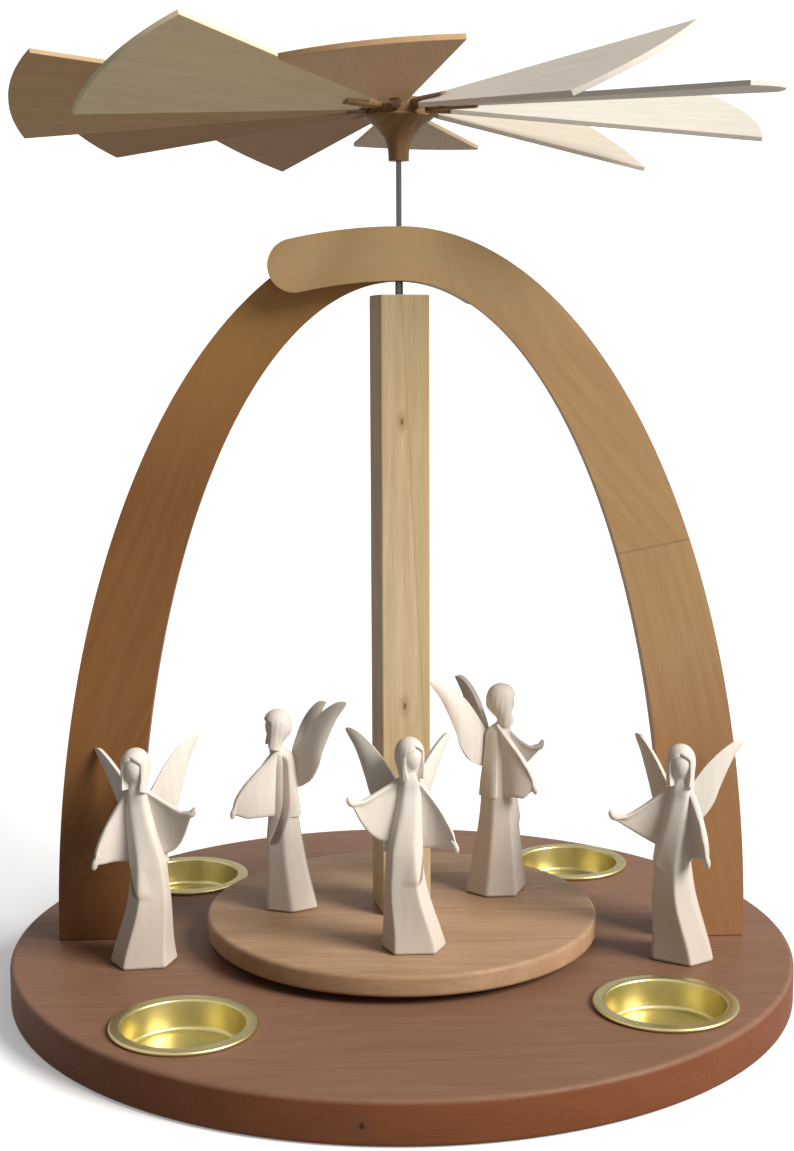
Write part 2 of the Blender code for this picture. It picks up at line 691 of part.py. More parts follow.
def make_hub(wood, rotor):
    hub = add_part("hub", profile_mesh("hub", hub_profile()), wood, rotor)
    add_turning(hub, HUB_SIDES)
    bore = cylinder_mesh(
        "hub_bore", SHAFT_DIAMETER / 2 + SEAT_GAP, HUB_NECK_Z - BOOLEAN_OVERSHOOT,
        HUB_BORE_TOP_Z, 12,
    )
    cut(hub, add_cutter("hub_bore", bore))
    inner = HUB_DRUM_DIAMETER / 2 - STEM_PEG_DEPTH - SEAT_GAP
    outer = HUB_DRUM_DIAMETER / 2 + BOOLEAN_OVERSHOOT
    hole = cylinder_mesh("stem_hole", STEM_PEG_DIAMETER / 2 + SEAT_GAP, inner, outer, 10)
    hole.transform(Matrix.Rotation(math.pi / 2, 4, "Y"))
    for index in range(PADDLE_COUNT):
        turn = (0.0, 0.0, paddle_direction(index))
        cut(hub, add_cutter(f"stem_hole_{index + 1}", hole, (0.0, 0.0, STEM_AXIS_Z), turn))
    return hub


def stem_mesh():
    """A dowel along +X with a peg at the hub and a slot for the paddle's root."""
    drum = HUB_DRUM_DIAMETER / 2
    stem_radius, peg = STEM_DIAMETER / 2, STEM_PEG_DIAMETER / 2
    profile = (
        (0.0, STEM_END_RADIUS), (stem_radius, STEM_END_RADIUS), (stem_radius, drum + SEAT_GAP),
        (peg, drum + SEAT_GAP), (peg, drum - STEM_PEG_DEPTH), (0.0, drum - STEM_PEG_DEPTH),
    )
    dowel = add_turning(add_cutter("stem_profile", profile_mesh("stem_profile", profile)), STEM_SIDES)
    slot_bottom = PADDLE_ROOT_RADIUS - SEAT_GAP
    slot_top = STEM_END_RADIUS + BOOLEAN_OVERSHOOT
    size = (PADDLE_THICKNESS + 2 * STEM_SLOT_GAP, 2 * STEM_DIAMETER, slot_top - slot_bottom)
    slot = add_cutter("stem_slot", box_mesh("stem_slot", size, (0, 0, (slot_top + slot_bottom) / 2)))
    cut(dowel, slot)
    mesh = shared_mesh(dowel, "paddle_stem", slot)
    mesh.transform(Matrix.Rotation(math.pi / 2, 4, "Y"))
    return mesh


def paddle_outline():
    """Straight sides from the root to two corners, and an arched outer edge."""
    half_tip, half_root = PADDLE_TIP_WIDTH / 2, PADDLE_ROOT_WIDTH / 2
    arc_radius = (half_tip ** 2 + PADDLE_TIP_CROWN ** 2) / (2 * PADDLE_TIP_CROWN)
    half_angle = math.asin(half_tip / arc_radius)
    centre = (PADDLE_CORNER_RADIUS + PADDLE_TIP_CROWN - arc_radius, 0.0)
    outline = [(PADDLE_ROOT_RADIUS, -half_root)]
    outline += arc_points(centre, arc_radius, -half_angle, half_angle, PADDLE_TIP_STEPS)
    outline.append((PADDLE_ROOT_RADIUS, half_root))
    return outline


def make_paddles(pale_wood, stem_wood, rotor):
    blade = plate_mesh("paddle", paddle_outline(), PADDLE_THICKNESS)
    stem = stem_mesh()
    for index, pitch in enumerate(PADDLE_PITCH_DEGREES):
        turn = (math.radians(pitch), 0.0, paddle_direction(index))
        axis = add_empty(f"paddle_axis_{index + 1}", rotor, (0.0, 0.0, STEM_AXIS_Z), turn)
        add_part(f"paddle_{index + 1}", blade, pale_wood, axis)
        add_part(f"paddle_stem_{index + 1}", stem, stem_wood, axis)


# Angels, each made facing -Y with its left hand at +X

def mix(first, second, share):
    return first + (second - first) * share


def robe_sizes(height):
    """Half width, depth in front and depth behind of the robe at a height."""
    waist = (ANGEL_WAIST_HALF_WIDTH, ANGEL_WAIST_DEPTH, ANGEL_WAIST_DEPTH)
    shoulder = (ANGEL_SHOULDER_HALF_WIDTH, ANGEL_SHOULDER_DEPTH, ANGEL_SHOULDER_DEPTH)
    if height < ANGEL_CAPE_HEM:
        share = (1 - height / ANGEL_CAPE_HEM) ** ANGEL_FLARE_POWER
        low, high = waist, (ANGEL_HEM_HALF_WIDTH, ANGEL_HEM_FRONT, ANGEL_HEM_BACK)
    elif height < ANGEL_SHOULDER_HEIGHT:
        share = (height - ANGEL_CAPE_HEM) / (ANGEL_SHOULDER_HEIGHT - ANGEL_CAPE_HEM)
        low, high = waist, shoulder
    else:
        share = (height - ANGEL_SHOULDER_HEIGHT) / (ANGEL_COLLAR_HEIGHT - ANGEL_SHOULDER_HEIGHT)
        low, high = shoulder, (ANGEL_COLLAR_RADIUS,) * 3
    return [mix(first, second, share) for first, second in zip(low, high)]


def panel_edge(height):
    """Half width and rise of the raised front panel, which narrows to a point low on the robe."""
    if height < PANEL_TIP_HEIGHT or height >= ANGEL_SHOULDER_HEIGHT:
        return 0.5 * PANEL_HALF_WIDTH, 0.0
    share = min(1.0, (height - PANEL_TIP_HEIGHT) / (PANEL_FULL_HEIGHT - PANEL_TIP_HEIGHT))
    return PANEL_HALF_WIDTH * max(share, 0.1), PANEL_RISE * min(1.0, 2.5 * share)


def hand_height(hand):
    return hand.height * ANGEL_HEIGHT


def sleeve_share(height, hand):
    """How far out the sleeve's edge is at a height: 0 at the robe, 1 at the hand."""
    if height >= ANGEL_SHOULDER_HEIGHT or height < ANGEL_CAPE_HEM:
        return 0.0
    drop = hand_height(hand) - height
    if drop <= 0.0:
        fallen = (ANGEL_SHOULDER_HEIGHT - height) / (ANGEL_SHOULDER_HEIGHT - hand_height(hand))
        return fallen ** hand.power
    return 1.0 - 0.8 * drop / (hand_height(hand) - ANGEL_CAPE_HEM + SLEEVE_THICKNESS)


def side_points(height, hand):
    """Eight points on the figure's left side, front to back, as (sideways, forwards)."""
    half_width, front_depth, back_depth = robe_sizes(height)
    panel_half_width, panel_rise = panel_edge(height)
    front = Vector((half_width * ANGEL_FRONT_SHARE, front_depth))
    back = Vector((half_width * ANGEL_FRONT_SHARE, -back_depth))
    flank = Vector((half_width, (front_depth - back_depth) / 2))
    out = sleeve_share(height, hand)
    reach = Vector((hand.side, hand.forward)) * ANGEL_HEIGHT - flank
    tip = flank + reach * out
    across = Vector((-reach.y, reach.x)).normalized() * (SLEEVE_THICKNESS / 2)
    bow = Vector((0.0, -SLEEVE_BOW * out))
    blend = min(1.0, 3 * out)
    sleeve_middle = (flank + tip) / 2 + bow
    front_middle = mix((front + flank) / 2, sleeve_middle + across, blend)
    back_middle = mix((back + flank) / 2, sleeve_middle - across, blend)
    return [
        Vector((panel_half_width, front_depth + panel_rise)), front, front_middle,
        tip + across * 0.9, tip - across * 0.9, back_middle, back, Vector((back.x / 2, -back_depth)),
    ]


def figure_ring(height, angel):
    """The robe's outline at a height, counter-clockwise from the front seen from above."""
    _, front_depth, back_depth = robe_sizes(height)
    left = side_points(height, angel.left_hand)
    right = [Vector((-x, y)) for x, y in side_points(height, angel.right_hand)]
    front = Vector((0.0, front_depth + 1.3 * panel_edge(height)[1]))
    outline = [front, *left, Vector((0.0, -back_depth)), *reversed(right)]
    shift = Vector(angel.lean) * height
    return [(x + shift.x, -forward - shift.y, height) for x, forward in outline]


def figure_heights(angel):
    """Rings close together at the cape's hem, the panel's tip and each hand."""
    step = SEAT_GAP
    heights = {0.0, 0.35 * ANGEL_CAPE_HEM, PANEL_TIP_HEIGHT - step, PANEL_TIP_HEIGHT + 2 * step}
    heights |= {ANGEL_CAPE_HEM - step, ANGEL_CAPE_HEM, ANGEL_SHOULDER_HEIGHT, ANGEL_COLLAR_HEIGHT}
    heights.add(PANEL_FULL_HEIGHT)
    for hand in (angel.left_hand, angel.right_hand):
        top = hand_height(hand) + SLEEVE_THICKNESS / 2
        heights |= {max(hand_height(hand), ANGEL_CAPE_HEM), top}
    heights.add(mix(max(heights - {ANGEL_SHOULDER_HEIGHT, ANGEL_COLLAR_HEIGHT}), ANGEL_SHOULDER_HEIGHT, 0.45))
    chosen = []
    for height in sorted(heights):
        if not chosen or height - chosen[-1] > 0.9 * step:
            chosen.append(height)
    return chosen


def head_mesh():
    """Hair like a hood, opened at the front round a plain oval face, on a short neck."""
    height = ANGEL_HEIGHT - ANGEL_COLLAR_HEIGHT - SEAT_GAP
    hair_bottom = 0.06 * height
    crown_z = 0.58 * height
    profile = [(0.0, height)]
    for angle in (60, 30):
        turn = math.radians(angle)
        rise = (height - crown_z) * math.sin(turn)
        profile.append((HEAD_HALF_WIDTH * math.cos(turn), crown_z + rise))
    profile += [(HEAD_HALF_WIDTH, 0.9 * crown_z), (HEAD_HALF_WIDTH * 0.9, 0.3 * height),
                (HEAD_HALF_WIDTH * 0.84, hair_bottom), (0.0, hair_bottom)]
    hood = add_turning(add_cutter("hair", profile_mesh("hair", profile)), 12)
    face_z = 0.50 * height
    opening = add_cutter("face_opening", ball_mesh(
        "face_opening", (FACE_HALF_WIDTH * 1.1, HEAD_HALF_WIDTH, FACE_HALF_HEIGHT),
        (0.0, -HEAD_HALF_WIDTH * 1.06, face_z - 0.08 * height), 10, 6))
    face = add_cutter("face", ball_mesh(
        "face", (FACE_HALF_WIDTH, HEAD_HALF_WIDTH * 0.96, FACE_HALF_HEIGHT),
        (0.0, -0.05 * HEAD_HALF_WIDTH, face_z), 10, 6))
    neck = add_cutter("neck", cylinder_mesh("neck", NECK_DIAMETER / 2, 0.0, height / 2, 8),
                      (0.0, HEAD_FORWARD / HEAD_DEPTH_SHARE, 0.0))
    cut(hood, opening)
    combine(hood, face, "UNION")
    combine(hood, neck, "UNION")
    mesh = shared_mesh(hood, "angel_head", opening, face, neck)
    mesh.transform(Matrix.Diagonal((1.0, HEAD_DEPTH_SHARE, 1.0, 1.0)))
    mesh.transform(Matrix.Translation((0.0, -HEAD_FORWARD, 0.0)))
    return mesh


def wing_rows(side):
    """A leaf that leaves the back, rises and spreads outwards; side is 1 for its left."""
    outwards = Vector((side * math.sin(WING_SPREAD), math.cos(WING_SPREAD), 0.0))
    across = Vector((-outwards.y, outwards.x, 0.0)) * side
    seat = SEAT_GAP + WING_THICKNESS / 2
    rows = []
    for index, (lower, upper) in enumerate(zip(WING_LOWER_EDGE, WING_UPPER_EDGE)):
        share = index / (len(WING_LOWER_EDGE) - 1)
        row = []
        for lateral in (0.0, 0.3, 0.7, 1.0):
            reach, rise = Vector(lower).lerp(Vector(upper), lateral)
            up = rise * WING_RISE
            back = robe_sizes(min(WING_ROOT_HEIGHT + up, ANGEL_SHOULDER_HEIGHT))[2]
            back = mix(back, robe_sizes(WING_ROOT_HEIGHT)[2], 1 - (1 - share) ** 2)
            root = Vector((side * WING_ROOT_OFFSET, back + seat, up))
            bow = WING_BOW * math.sin(math.pi * share) * (1 - (2 * lateral - 1) ** 2 / 2)
            row.append(root + outwards * reach * WING_REACH - across * bow)
        rows.append(row)
    return rows


def wing_mesh(side):
    name = "angel_wing_left" if side > 0 else "angel_wing_right"
    leaf = add_cutter(name, sheet_mesh(name, wing_rows(side)))
    shell = leaf.modifiers.new("thickness", "SOLIDIFY")
    shell.thickness = WING_THICKNESS
    shell.offset = 0.0
    return shared_mesh(leaf, name)


def add_carving(name, mesh, wood, centre, size, height, lean, turn=(0.0, 0.0)):
    """A piece of an angel, moved over as far as the figure leans at that height."""
    spot = Vector((lean[0] * height, -lean[1] * height, height)) * size
    roll, yaw = (math.radians(angle) for angle in turn)
    carving = add_part(name, mesh, wood, centre, spot, (0, roll, yaw))
    carving.scale = (size, size, size)


def make_angels(lime_wood, rotor):
    head = head_mesh()
    wings = {"left": wing_mesh(1), "right": wing_mesh(-1)}
    for angel in ANGELS:
        on_stand = angel.carrier == "stand"
        floor = (BASE_THICKNESS if on_stand else TURNTABLE_TOP_Z) + SEAT_GAP
        turn = (0, 0, math.radians(angel.heading + 90))
        parent = None if on_stand else rotor
        centre = add_empty(f"{angel.name}_place", parent, (*angel.place, floor), turn)
        rings = [figure_ring(height, angel) for height in figure_heights(angel)]
        robe = loft_mesh(f"{angel.name}_robe", rings)
        add_carving(f"{angel.name}_robe", robe, lime_wood, centre, angel.size, 0.0, angel.lean)
        add_carving(f"{angel.name}_head", head, lime_wood, centre, angel.size,
                    ANGEL_COLLAR_HEIGHT + SEAT_GAP, angel.lean, (0.0, angel.head_turn))
        for side, mesh in wings.items():
            add_carving(f"{angel.name}_wing_{side}", mesh, lime_wood, centre, angel.size,
                        WING_ROOT_HEIGHT, angel.lean, (angel.wing_roll, 0.0))


def main():
    clear_scene()
    make_collections()
    stain = make_material("brown_stained_wood", (0.27, 0.15, 0.10), 0.55)
    arch_wood = make_material("arch_wood", (0.43, 0.25, 0.12), 0.5)
    post_wood = make_material("post_pine", (0.58, 0.45, 0.27), 0.55)
    table_wood = make_material("turntable_wood", (0.50, 0.34, 0.21), 0.5)
    paddle_wood = make_material("paddle_wood", (0.62, 0.51, 0.36), 0.6)
    hub_wood = make_material("hub_wood", (0.40, 0.27, 0.17), 0.5)
    lime_wood = make_material("lime_wood", (0.84, 0.77, 0.69), 0.6)
    brass = make_material("brass", (0.62, 0.54, 0.22), 0.25, 1.0)
    steel = make_material("steel", (0.12, 0.12, 0.12), 0.35, 1.0)
    glass = make_material("bearing_glass", (0.75, 0.80, 0.80), 0.1)
    rotor = add_empty("rotor_axis")
    make_base(stain)
    make_cups(brass)
    make_screws(steel)
    make_arch(arch_wood)
    make_bush(brass)
    pin = make_bearing(glass, steel)
    pin.parent = rotor
    make_turntable(table_wood, rotor)
    make_post(post_wood, rotor)
    make_shaft(steel, rotor)
    make_hub(hub_wood, rotor)
    make_paddles(paddle_wood, hub_wood, rotor)
    make_angels(lime_wood, rotor)


main()
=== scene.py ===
"""Christmas pyramid: the looks of the candle carousel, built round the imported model.

Metres, +Z up, the origin under the base on the rotor's axis, and -Y is the front. Each piece
keeps its place in its mesh and rides on the CAD body that carries it. What repeats comes from
Geometry Nodes: the cups, the screws, the paddles and their stems. The angels are carved as
skins over rings of points, and every finish is made of nodes.
"""

import json
from collections import namedtuple
from math import acos, asin, atan2, copysign, cos, pi, radians, sin, sqrt, tau

import bmesh
import bpy
from mathutils import Matrix, Vector


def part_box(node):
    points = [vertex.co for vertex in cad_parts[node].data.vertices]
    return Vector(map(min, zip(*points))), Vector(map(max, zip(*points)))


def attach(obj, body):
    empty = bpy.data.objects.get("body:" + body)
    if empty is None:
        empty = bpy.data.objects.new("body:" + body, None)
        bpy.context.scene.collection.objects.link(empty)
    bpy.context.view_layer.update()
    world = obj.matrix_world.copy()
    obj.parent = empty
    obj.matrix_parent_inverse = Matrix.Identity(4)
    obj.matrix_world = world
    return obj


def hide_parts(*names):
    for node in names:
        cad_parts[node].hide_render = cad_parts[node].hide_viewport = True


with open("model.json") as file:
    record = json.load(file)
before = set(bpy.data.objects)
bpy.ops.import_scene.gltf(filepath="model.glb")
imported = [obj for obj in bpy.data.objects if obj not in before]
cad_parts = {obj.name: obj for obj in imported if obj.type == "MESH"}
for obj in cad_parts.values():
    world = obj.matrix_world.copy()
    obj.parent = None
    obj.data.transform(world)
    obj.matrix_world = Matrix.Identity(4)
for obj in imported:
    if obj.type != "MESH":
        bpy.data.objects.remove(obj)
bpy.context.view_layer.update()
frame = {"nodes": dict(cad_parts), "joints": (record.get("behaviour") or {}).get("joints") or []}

# Rings and steps of the finer meshes
BOARD_SIDES = 224
CUP_SIDES = 96
SMALL_SIDES = 48
ARCH_STEPS = 110
LAP_STEPS = 12
TRUMPET_STEPS = 24
REAR_ARCH_STEPS = ARCH_STEPS + 20
ROUND_END_STEPS = 14
SHARP_ANGLE = 35

# The gap between neighbouring pieces, and how far a cutter reaches past what it cuts
GAP = 0.0003
CUT_MARGIN = 0.002

# Base plate and cups
BASE_EDGE_ROUND = 0.0018
CUP_RING_RADIUS = 0.1124
CUP_RING_TURN = radians(-41.5)
CUP_NAMES = ("front_right", "back_right", "back_left", "front_left")
CUP_COUNT = len(CUP_NAMES)
CUP_MOUTH_RADIUS = 0.0205
CUP_FLOOR_RADIUS = 0.0193
CUP_RIM_RADIUS = 0.0243
CUP_SHEET = 0.0005
CUP_ROLL = 0.0008
CUP_LIP_ROUND = 0.0009
CUP_FLOOR_ROUND = 0.0014

# Screws, and the countersunk hole for each as (radius, height) points
SCREW_SPACING = 0.016
SCREW_FOOT_MIDDLE = 0.11175
SCREW_PLANE = 0.00415
SCREW_HEAD_RADIUS = 0.0030
SCREW_SHANK_RADIUS = 0.0014
SCREW_POINT = 0.0056
SCREW_HEAD_HEIGHT = 0.0018
SCREW_SLOT_DEPTH = 0.0009
SCREW_SLOT = (0.0007, 0.0036)
SCREW_HOLE = ((0, 0.02), (0.0017, 0.02), (0.0017, 0.0026), (0.0033, 0.0005), (0.0033, -0.002),
              (0, -0.002))

# Arch: half widths and heights, each arm's near and far plane, and how far it laps the middle
ARCH_FOOT_Z = 0.0153
ARCH_OUTER = (0.1265, 0.2584)
ARCH_INNER = (0.0970, 0.2397)
ARM_PLANES = {"front": (-0.00815, -0.00015), "rear": (0.00015, 0.00815)}
FRONT_LAP_REACH = 0.0370
FRONT_LAP_DROOP = 3.0
REAR_LAP_REACH = 0.0280
LAST_PAIR_GAP = 0.02
ARM_EDGE_ROUND = 0.0007
BUSH_RADIUS = 0.0022
BUSH_BORE_RADIUS = 0.0013
BUSH_EDGE = 0.0003

# Turntable, shaft, hub, paddles and stems
TABLE_EDGE_ROUND = 0.0016
TABLE_HOLE_RADIUS = 0.0053
SHAFT_RADIUS = 0.0010
SHAFT_SHOULDER_RADIUS = 0.0014
HUB_NECK_RADIUS = 0.0036
HUB_FLANGE_RADIUS = 0.0124
HUB_DRUM_RADIUS = 0.0106
HUB_FLANGE_THICKNESS = 0.0009
HUB_TRUMPET_HEIGHT = 0.0146
HUB_BORE_RADIUS = 0.0013
HUB_BORE_DEPTH = 0.004
HUB_DRUM_ROUND = 0.0008
HUB_FLANGE_ROUND = 0.00045
TRUMPET_POWER = 2.8
STEM_RADIUS = 0.0020
STEM_END_RADIUS = 0.0290
PEG_RADIUS = 0.0012
PEG_DEPTH = 0.0045
STEM_END_ROUND = 0.0007
STEM_SLOT_START = 0.0177
STEM_SLOT_WIDTH = 0.0022
WHEEL_HEIGHT = 0.3152
PADDLE_SIZES = {"root_radius": 0.0180, "root_width": 0.0080, "corner_radius": 0.1272,
                "tip_width": 0.0528, "tip_crown": 0.0060, "thickness": 0.0018}

# Woods: each knot in the post is its place across the front, its height and its half width
WOOD_SPECULAR = 0.16
POST_TURN = radians(10.7)
POST_KNOTS = ((-0.0013, 0.2058, 0.0011), (-0.0006, 0.1036, 0.0012))
# Each paddle's colour is painted light and painted shade: pale for a paddle lit at rest, brown for
# one in shade.
PADDLE_PAINTED_LIGHT_COLOURS = (
    (0.740, 0.690, 0.605), (0.760, 0.710, 0.620), (0.620, 0.545, 0.440), (0.530, 0.385, 0.250),
    (0.430, 0.250, 0.125), (0.465, 0.285, 0.150), (0.570, 0.380, 0.205), (0.825, 0.700, 0.465),
    (0.640, 0.400, 0.210), (0.815, 0.730, 0.630))

# Floor, light and camera
BACKDROP_BEND = 0.9
BACKDROP_FRONT, BACKDROP_TOP, BACKDROP_HALF_WIDTH = -1.6, 2.6, 3.0
FLOOR_DROP = 0.0002
FLOOR_COLOUR = (0.88, 0.88, 0.88)
FLOOR_BOUNCE = 0.30
FLOOR_GLOW = 0.28
SKY_DARK, SKY_BRIGHT = 0.07, 0.40
SUN_LEVEL = 4.5
SUN_SIZE = radians(28.0)
SUN_COLOUR = (1.0, 0.975, 0.945)
SUN_AZIMUTH, SUN_HEIGHT = radians(57.0), radians(35.0)
CAMERA_PLACE = (-0.0294817, -0.6244871, 0.2350883)
CAMERA_YAW, CAMERA_DOWN, CAMERA_ROLL = 0.0453, 0.1354, -0.0041
CAMERA_LENS, CAMERA_SENSOR = 54.52, 36.0


# Nodes

def math_step(operation, swapped=False):
    """A method that adds a Math node."""

    def step(value, *others):
        values = (*others, value) if swapped else (value, *others)
        return value.owner.value("ShaderNodeMath", values, operation=operation)

    return step


class Value:
    """A number that varies: sums on it add Math nodes to its tree."""

    def __init__(self, owner, socket):
        self.owner, self.socket = owner, socket

    __add__ = __radd__ = math_step("ADD")
    __sub__ = math_step("SUBTRACT")
    __rsub__ = math_step("SUBTRACT", swapped=True)
    __mul__ = __rmul__ = math_step("MULTIPLY")
    __truediv__ = math_step("DIVIDE")
    __pow__ = math_step("POWER")
    __abs__ = math_step("ABSOLUTE")
    sine = math_step("SINE")
    root = math_step("SQRT")
    larger = math_step("MAXIMUM")

    def __neg__(self):
        return self * -1.0

    def rise(self, low, high, start=0.0, end=1.0):
        """A smooth step from start to end as the value goes from low to high."""
        return self.owner.value(
            "ShaderNodeMapRange", (self, low, high, start, end), interpolation_type="SMOOTHSTEP")


class Nodes:
    """A node tree, written as expressions."""

    def __init__(self, tree):
        self.tree = tree

    def feed(self, socket, value):
        if isinstance(value, Value):
            self.tree.links.new(value.socket, socket)
        elif isinstance(value, bpy.types.NodeSocket):
            self.tree.links.new(value, socket)
        else:
            socket.default_value = value

    def node(self, kind, inputs=(), **settings):
        made = self.tree.nodes.new(kind)
        for setting, value in settings.items():
            setattr(made, setting, value)
        for key, value in inputs.items() if isinstance(inputs, dict) else enumerate(inputs):
            self.feed(made.inputs[key], value)
        return made

    def value(self, kind, inputs=(), output=0, **settings):
        return Value(self, self.node(kind, inputs, **settings).outputs[output])

    def vector(self, x, y, z):
        return self.value("ShaderNodeCombineXYZ", (x, y, z))

    def parts_of(self, vector):
        split = self.node("ShaderNodeSeparateXYZ", (vector,))
        return [Value(self, socket) for socket in split.outputs]


class Finish(Nodes):
    """A Principled material and the nodes that feed it, on Object coordinates."""

    def __init__(self, name, roughness=0.5, metallic=0.0):
        self.material = bpy.data.materials.new(name)
        self.material.use_nodes = True
        super().__init__(self.material.node_tree)
        self.shader = self.tree.nodes["Principled BSDF"]
        self.set("Roughness", roughness)
        self.set("Metallic", metallic)
        self.x, self.y, self.z = self.parts_of(self.value("ShaderNodeTexCoord", (), "Object"))
        self.axes = self.x, self.y, self.z

    def set(self, socket, value):
        self.feed(self.shader.inputs[socket], value)

    def noise(self, sizes, detail=2.0, roughness=0.5):
        """Noise whose grains have these sizes in metres along the axes."""
        spot = self.vector(*(axis / size for axis, size in zip(self.axes, sizes)))
        return self.value("ShaderNodeTexNoise", {
            "Vector": spot, "Scale": 1.0, "Detail": detail, "Roughness": roughness})

    def blend(self, share, first, second, mode="MIX"):
        """A colour between two, which are colours written out or links."""
        colours = [(*colour, 1.0) if isinstance(colour, tuple) else colour
                   for colour in (first, second)]
        return self.value("ShaderNodeMix", {0: share, 6: colours[0], 7: colours[1]}, 2,
                          data_type="RGBA", blend_type=mode)

    def bump(self, height, depth):
        """A relief of that depth in metres where height goes from 0 to 1."""
        self.set("Normal", self.value(
            "ShaderNodeBump", {"Strength": 1.0, "Distance": depth, "Height": height}))


class Recipe(Nodes):
    """A Geometry Nodes tree with a named input for each of its sizes."""

    def __init__(self, name, sizes, **others):
        super().__init__(bpy.data.node_groups.new(name, "GeometryNodeTree"))
        self.keys = {}
        kinds = {**dict.fromkeys(sizes.split(), "Float"), **others, "material": "Material"}
        for label, kind in kinds.items():
            item = self.tree.interface.new_socket(
                label, in_out="INPUT", socket_type=f"NodeSocket{kind}")
            self.keys[label] = item.identifier
        self.tree.interface.new_socket("Geometry", in_out="OUTPUT", socket_type="NodeSocketGeometry")
        self.entry = self.tree.nodes.new("NodeGroupInput")

    def size(self, label):
        return Value(self, self.entry.outputs[label])

    def turned(self, geometry, rotation, translation=(0, 0, 0)):
        return self.value("GeometryNodeTransform", {
            "Geometry": geometry, "Translation": translation, "Rotation": rotation})

    def piece(self):
        return self.value("GeometryNodeObjectInfo", {"Object": self.size("piece")}, "Geometry")

    def spread(self, points):
        """A copy of the piece at each point."""
        return self.value(
            "GeometryNodeInstanceOnPoints", {"Points": points, "Instance": self.piece()})

    def ends_with(self, geometry):
        real = self.value("GeometryNodeRealizeInstances", (geometry,))
        painted = self.value(
            "GeometryNodeSetMaterial", {"Geometry": real, "Material": self.size("material")})
        self.tree.links.new(painted.socket, self.tree.nodes.new("NodeGroupOutput").inputs[0])
        return self

    def made(self, name, finish, **sizes):
        """A plain mesh object of what the tree makes from these sizes."""
        maker = linked(f"{name}_maker", bpy.data.meshes.new(f"{name}_maker"))
        modifier = maker.modifiers.new("recipe", "NODES")
        modifier.node_group = self.tree
        for label, value in {**sizes, "material": finish.material}.items():
            modifier[self.keys[label]] = value
        return add_piece(name, used_up(maker), finish)


# Meshes

def linked(name, data):
    obj = bpy.data.objects.new(name, data)
    bpy.context.scene.collection.objects.link(obj)
    return obj


def evaluated_mesh(obj):
    bpy.context.view_layer.update()
    graph = bpy.context.evaluated_depsgraph_get()
    return bpy.data.meshes.new_from_object(obj.evaluated_get(graph))


def used_up(obj):
    """The mesh of a helper as its modifiers leave it, without the helper."""
    mesh = evaluated_mesh(obj)
    bpy.data.objects.remove(obj, do_unlink=True)
    return mesh


def add_piece(name, mesh, finish, sharp=SHARP_ANGLE):
    mesh.name = name
    mesh.shade_smooth()
    mesh.set_sharp_from_angle(angle=radians(sharp))
    mesh.materials.clear()
    mesh.materials.append(finish.material)
    return linked(name, mesh)


def hidden_piece(name, mesh):
    """A piece for a recipe to copy, out of the scene."""
    mesh.shade_smooth()
    return bpy.data.objects.new(name, mesh)


def soften(obj, width, segments=2, angle=40):
    """Rounds the edges that are sharper than the angle."""
    bevel = obj.modifiers.new("softened_edges", "BEVEL")
    bevel.limit_method = "ANGLE"
    bevel.angle_limit = radians(angle)
    bevel.width = width
    bevel.segments = segments
    bevel.harden_normals = True


def carry(obj, body, slot, *nodes):
    """The piece rides on a body and stands for these CAD nodes; its slot is not used."""
    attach(obj, body)
    if nodes:
        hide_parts(*nodes)


def mesh_from(bm, name):
    bmesh.ops.recalc_face_normals(bm, faces=bm.faces)
    mesh = bpy.data.meshes.new(name)
    bm.to_mesh(mesh)
    bm.free()
    return mesh


def merged(bm):
    bmesh.ops.remove_doubles(bm, verts=bm.verts, dist=1e-6)
    return bm


def skin(name, rings, closed_rings=True, caps=True, merge=False):
    """Faces over rings of points. A ring of one point is a pole."""
    bm = bmesh.new()
    rows = [[bm.verts.new(point) for point in ring] for ring in rings]
    count = max(len(row) for row in rows)
    last = count if closed_rings else count - 1
    for lower, upper in zip(rows, rows[1:]):
        for index in range(last):
            after = (index + 1) % count
            corners = (lower[index % len(lower)], lower[after % len(lower)],
                       upper[after % len(upper)], upper[index % len(upper)])
            face = list(dict.fromkeys(corners))
            if len(face) > 2:
                bm.faces.new(face)
    if caps:
        for row in (rows[0], rows[-1]):
            if len(row) > 2:
                bm.faces.new(row)
    return mesh_from(merged(bm) if merge else bm, name)


def lathe(name, profile, sides, closed=False):
    """A solid turned from (radius, height) points; a closed profile ends where it starts."""
    turns = [tau * step / sides for step in range(sides)]
    rings = [[(radius * cos(turn), radius * sin(turn), height)
              for turn in (turns if radius > 1e-7 else turns[:1])] for radius, height in profile]
    return skin(name, rings, caps=False, merge=closed)


def arc(centre, radius, start, end, steps):
    """Points on an arc between two angles in degrees, both ends included."""
    turns = (radians(start + (end - start) * step / steps) for step in range(steps + 1))
    return [(centre[0] + radius * cos(turn), centre[1] + radius * sin(turn))
            for turn in turns]


def round_board(name, low, high, edge, finish):
    """A disc with rounded edges, from the centre of its top to the centre of its underside."""
    middle = high.x - edge
    profile = [(0, high.z), *arc((middle, high.z - edge), edge, 90, 0, 6),
               *arc((middle, low.z + edge), edge, 0, -90, 6), (0, low.z)]
    return add_piece(name, lathe(name, profile, BOARD_SIDES), finish)


def block(name, height, *sizes):
    """A block of these three sizes, with its middle at a height."""
    bm = bmesh.new()
    bmesh.ops.create_cube(bm, size=1.0, matrix=Matrix.Translation((0, 0, height))
                          @ Matrix.Diagonal((*sizes, 1.0)))
    return mesh_from(bm, name)


def rod(name, radius, low, high, sides=SMALL_SIDES):
    return lathe(name, [(0, high), (radius, high), (radius, low), (0, low)], sides)


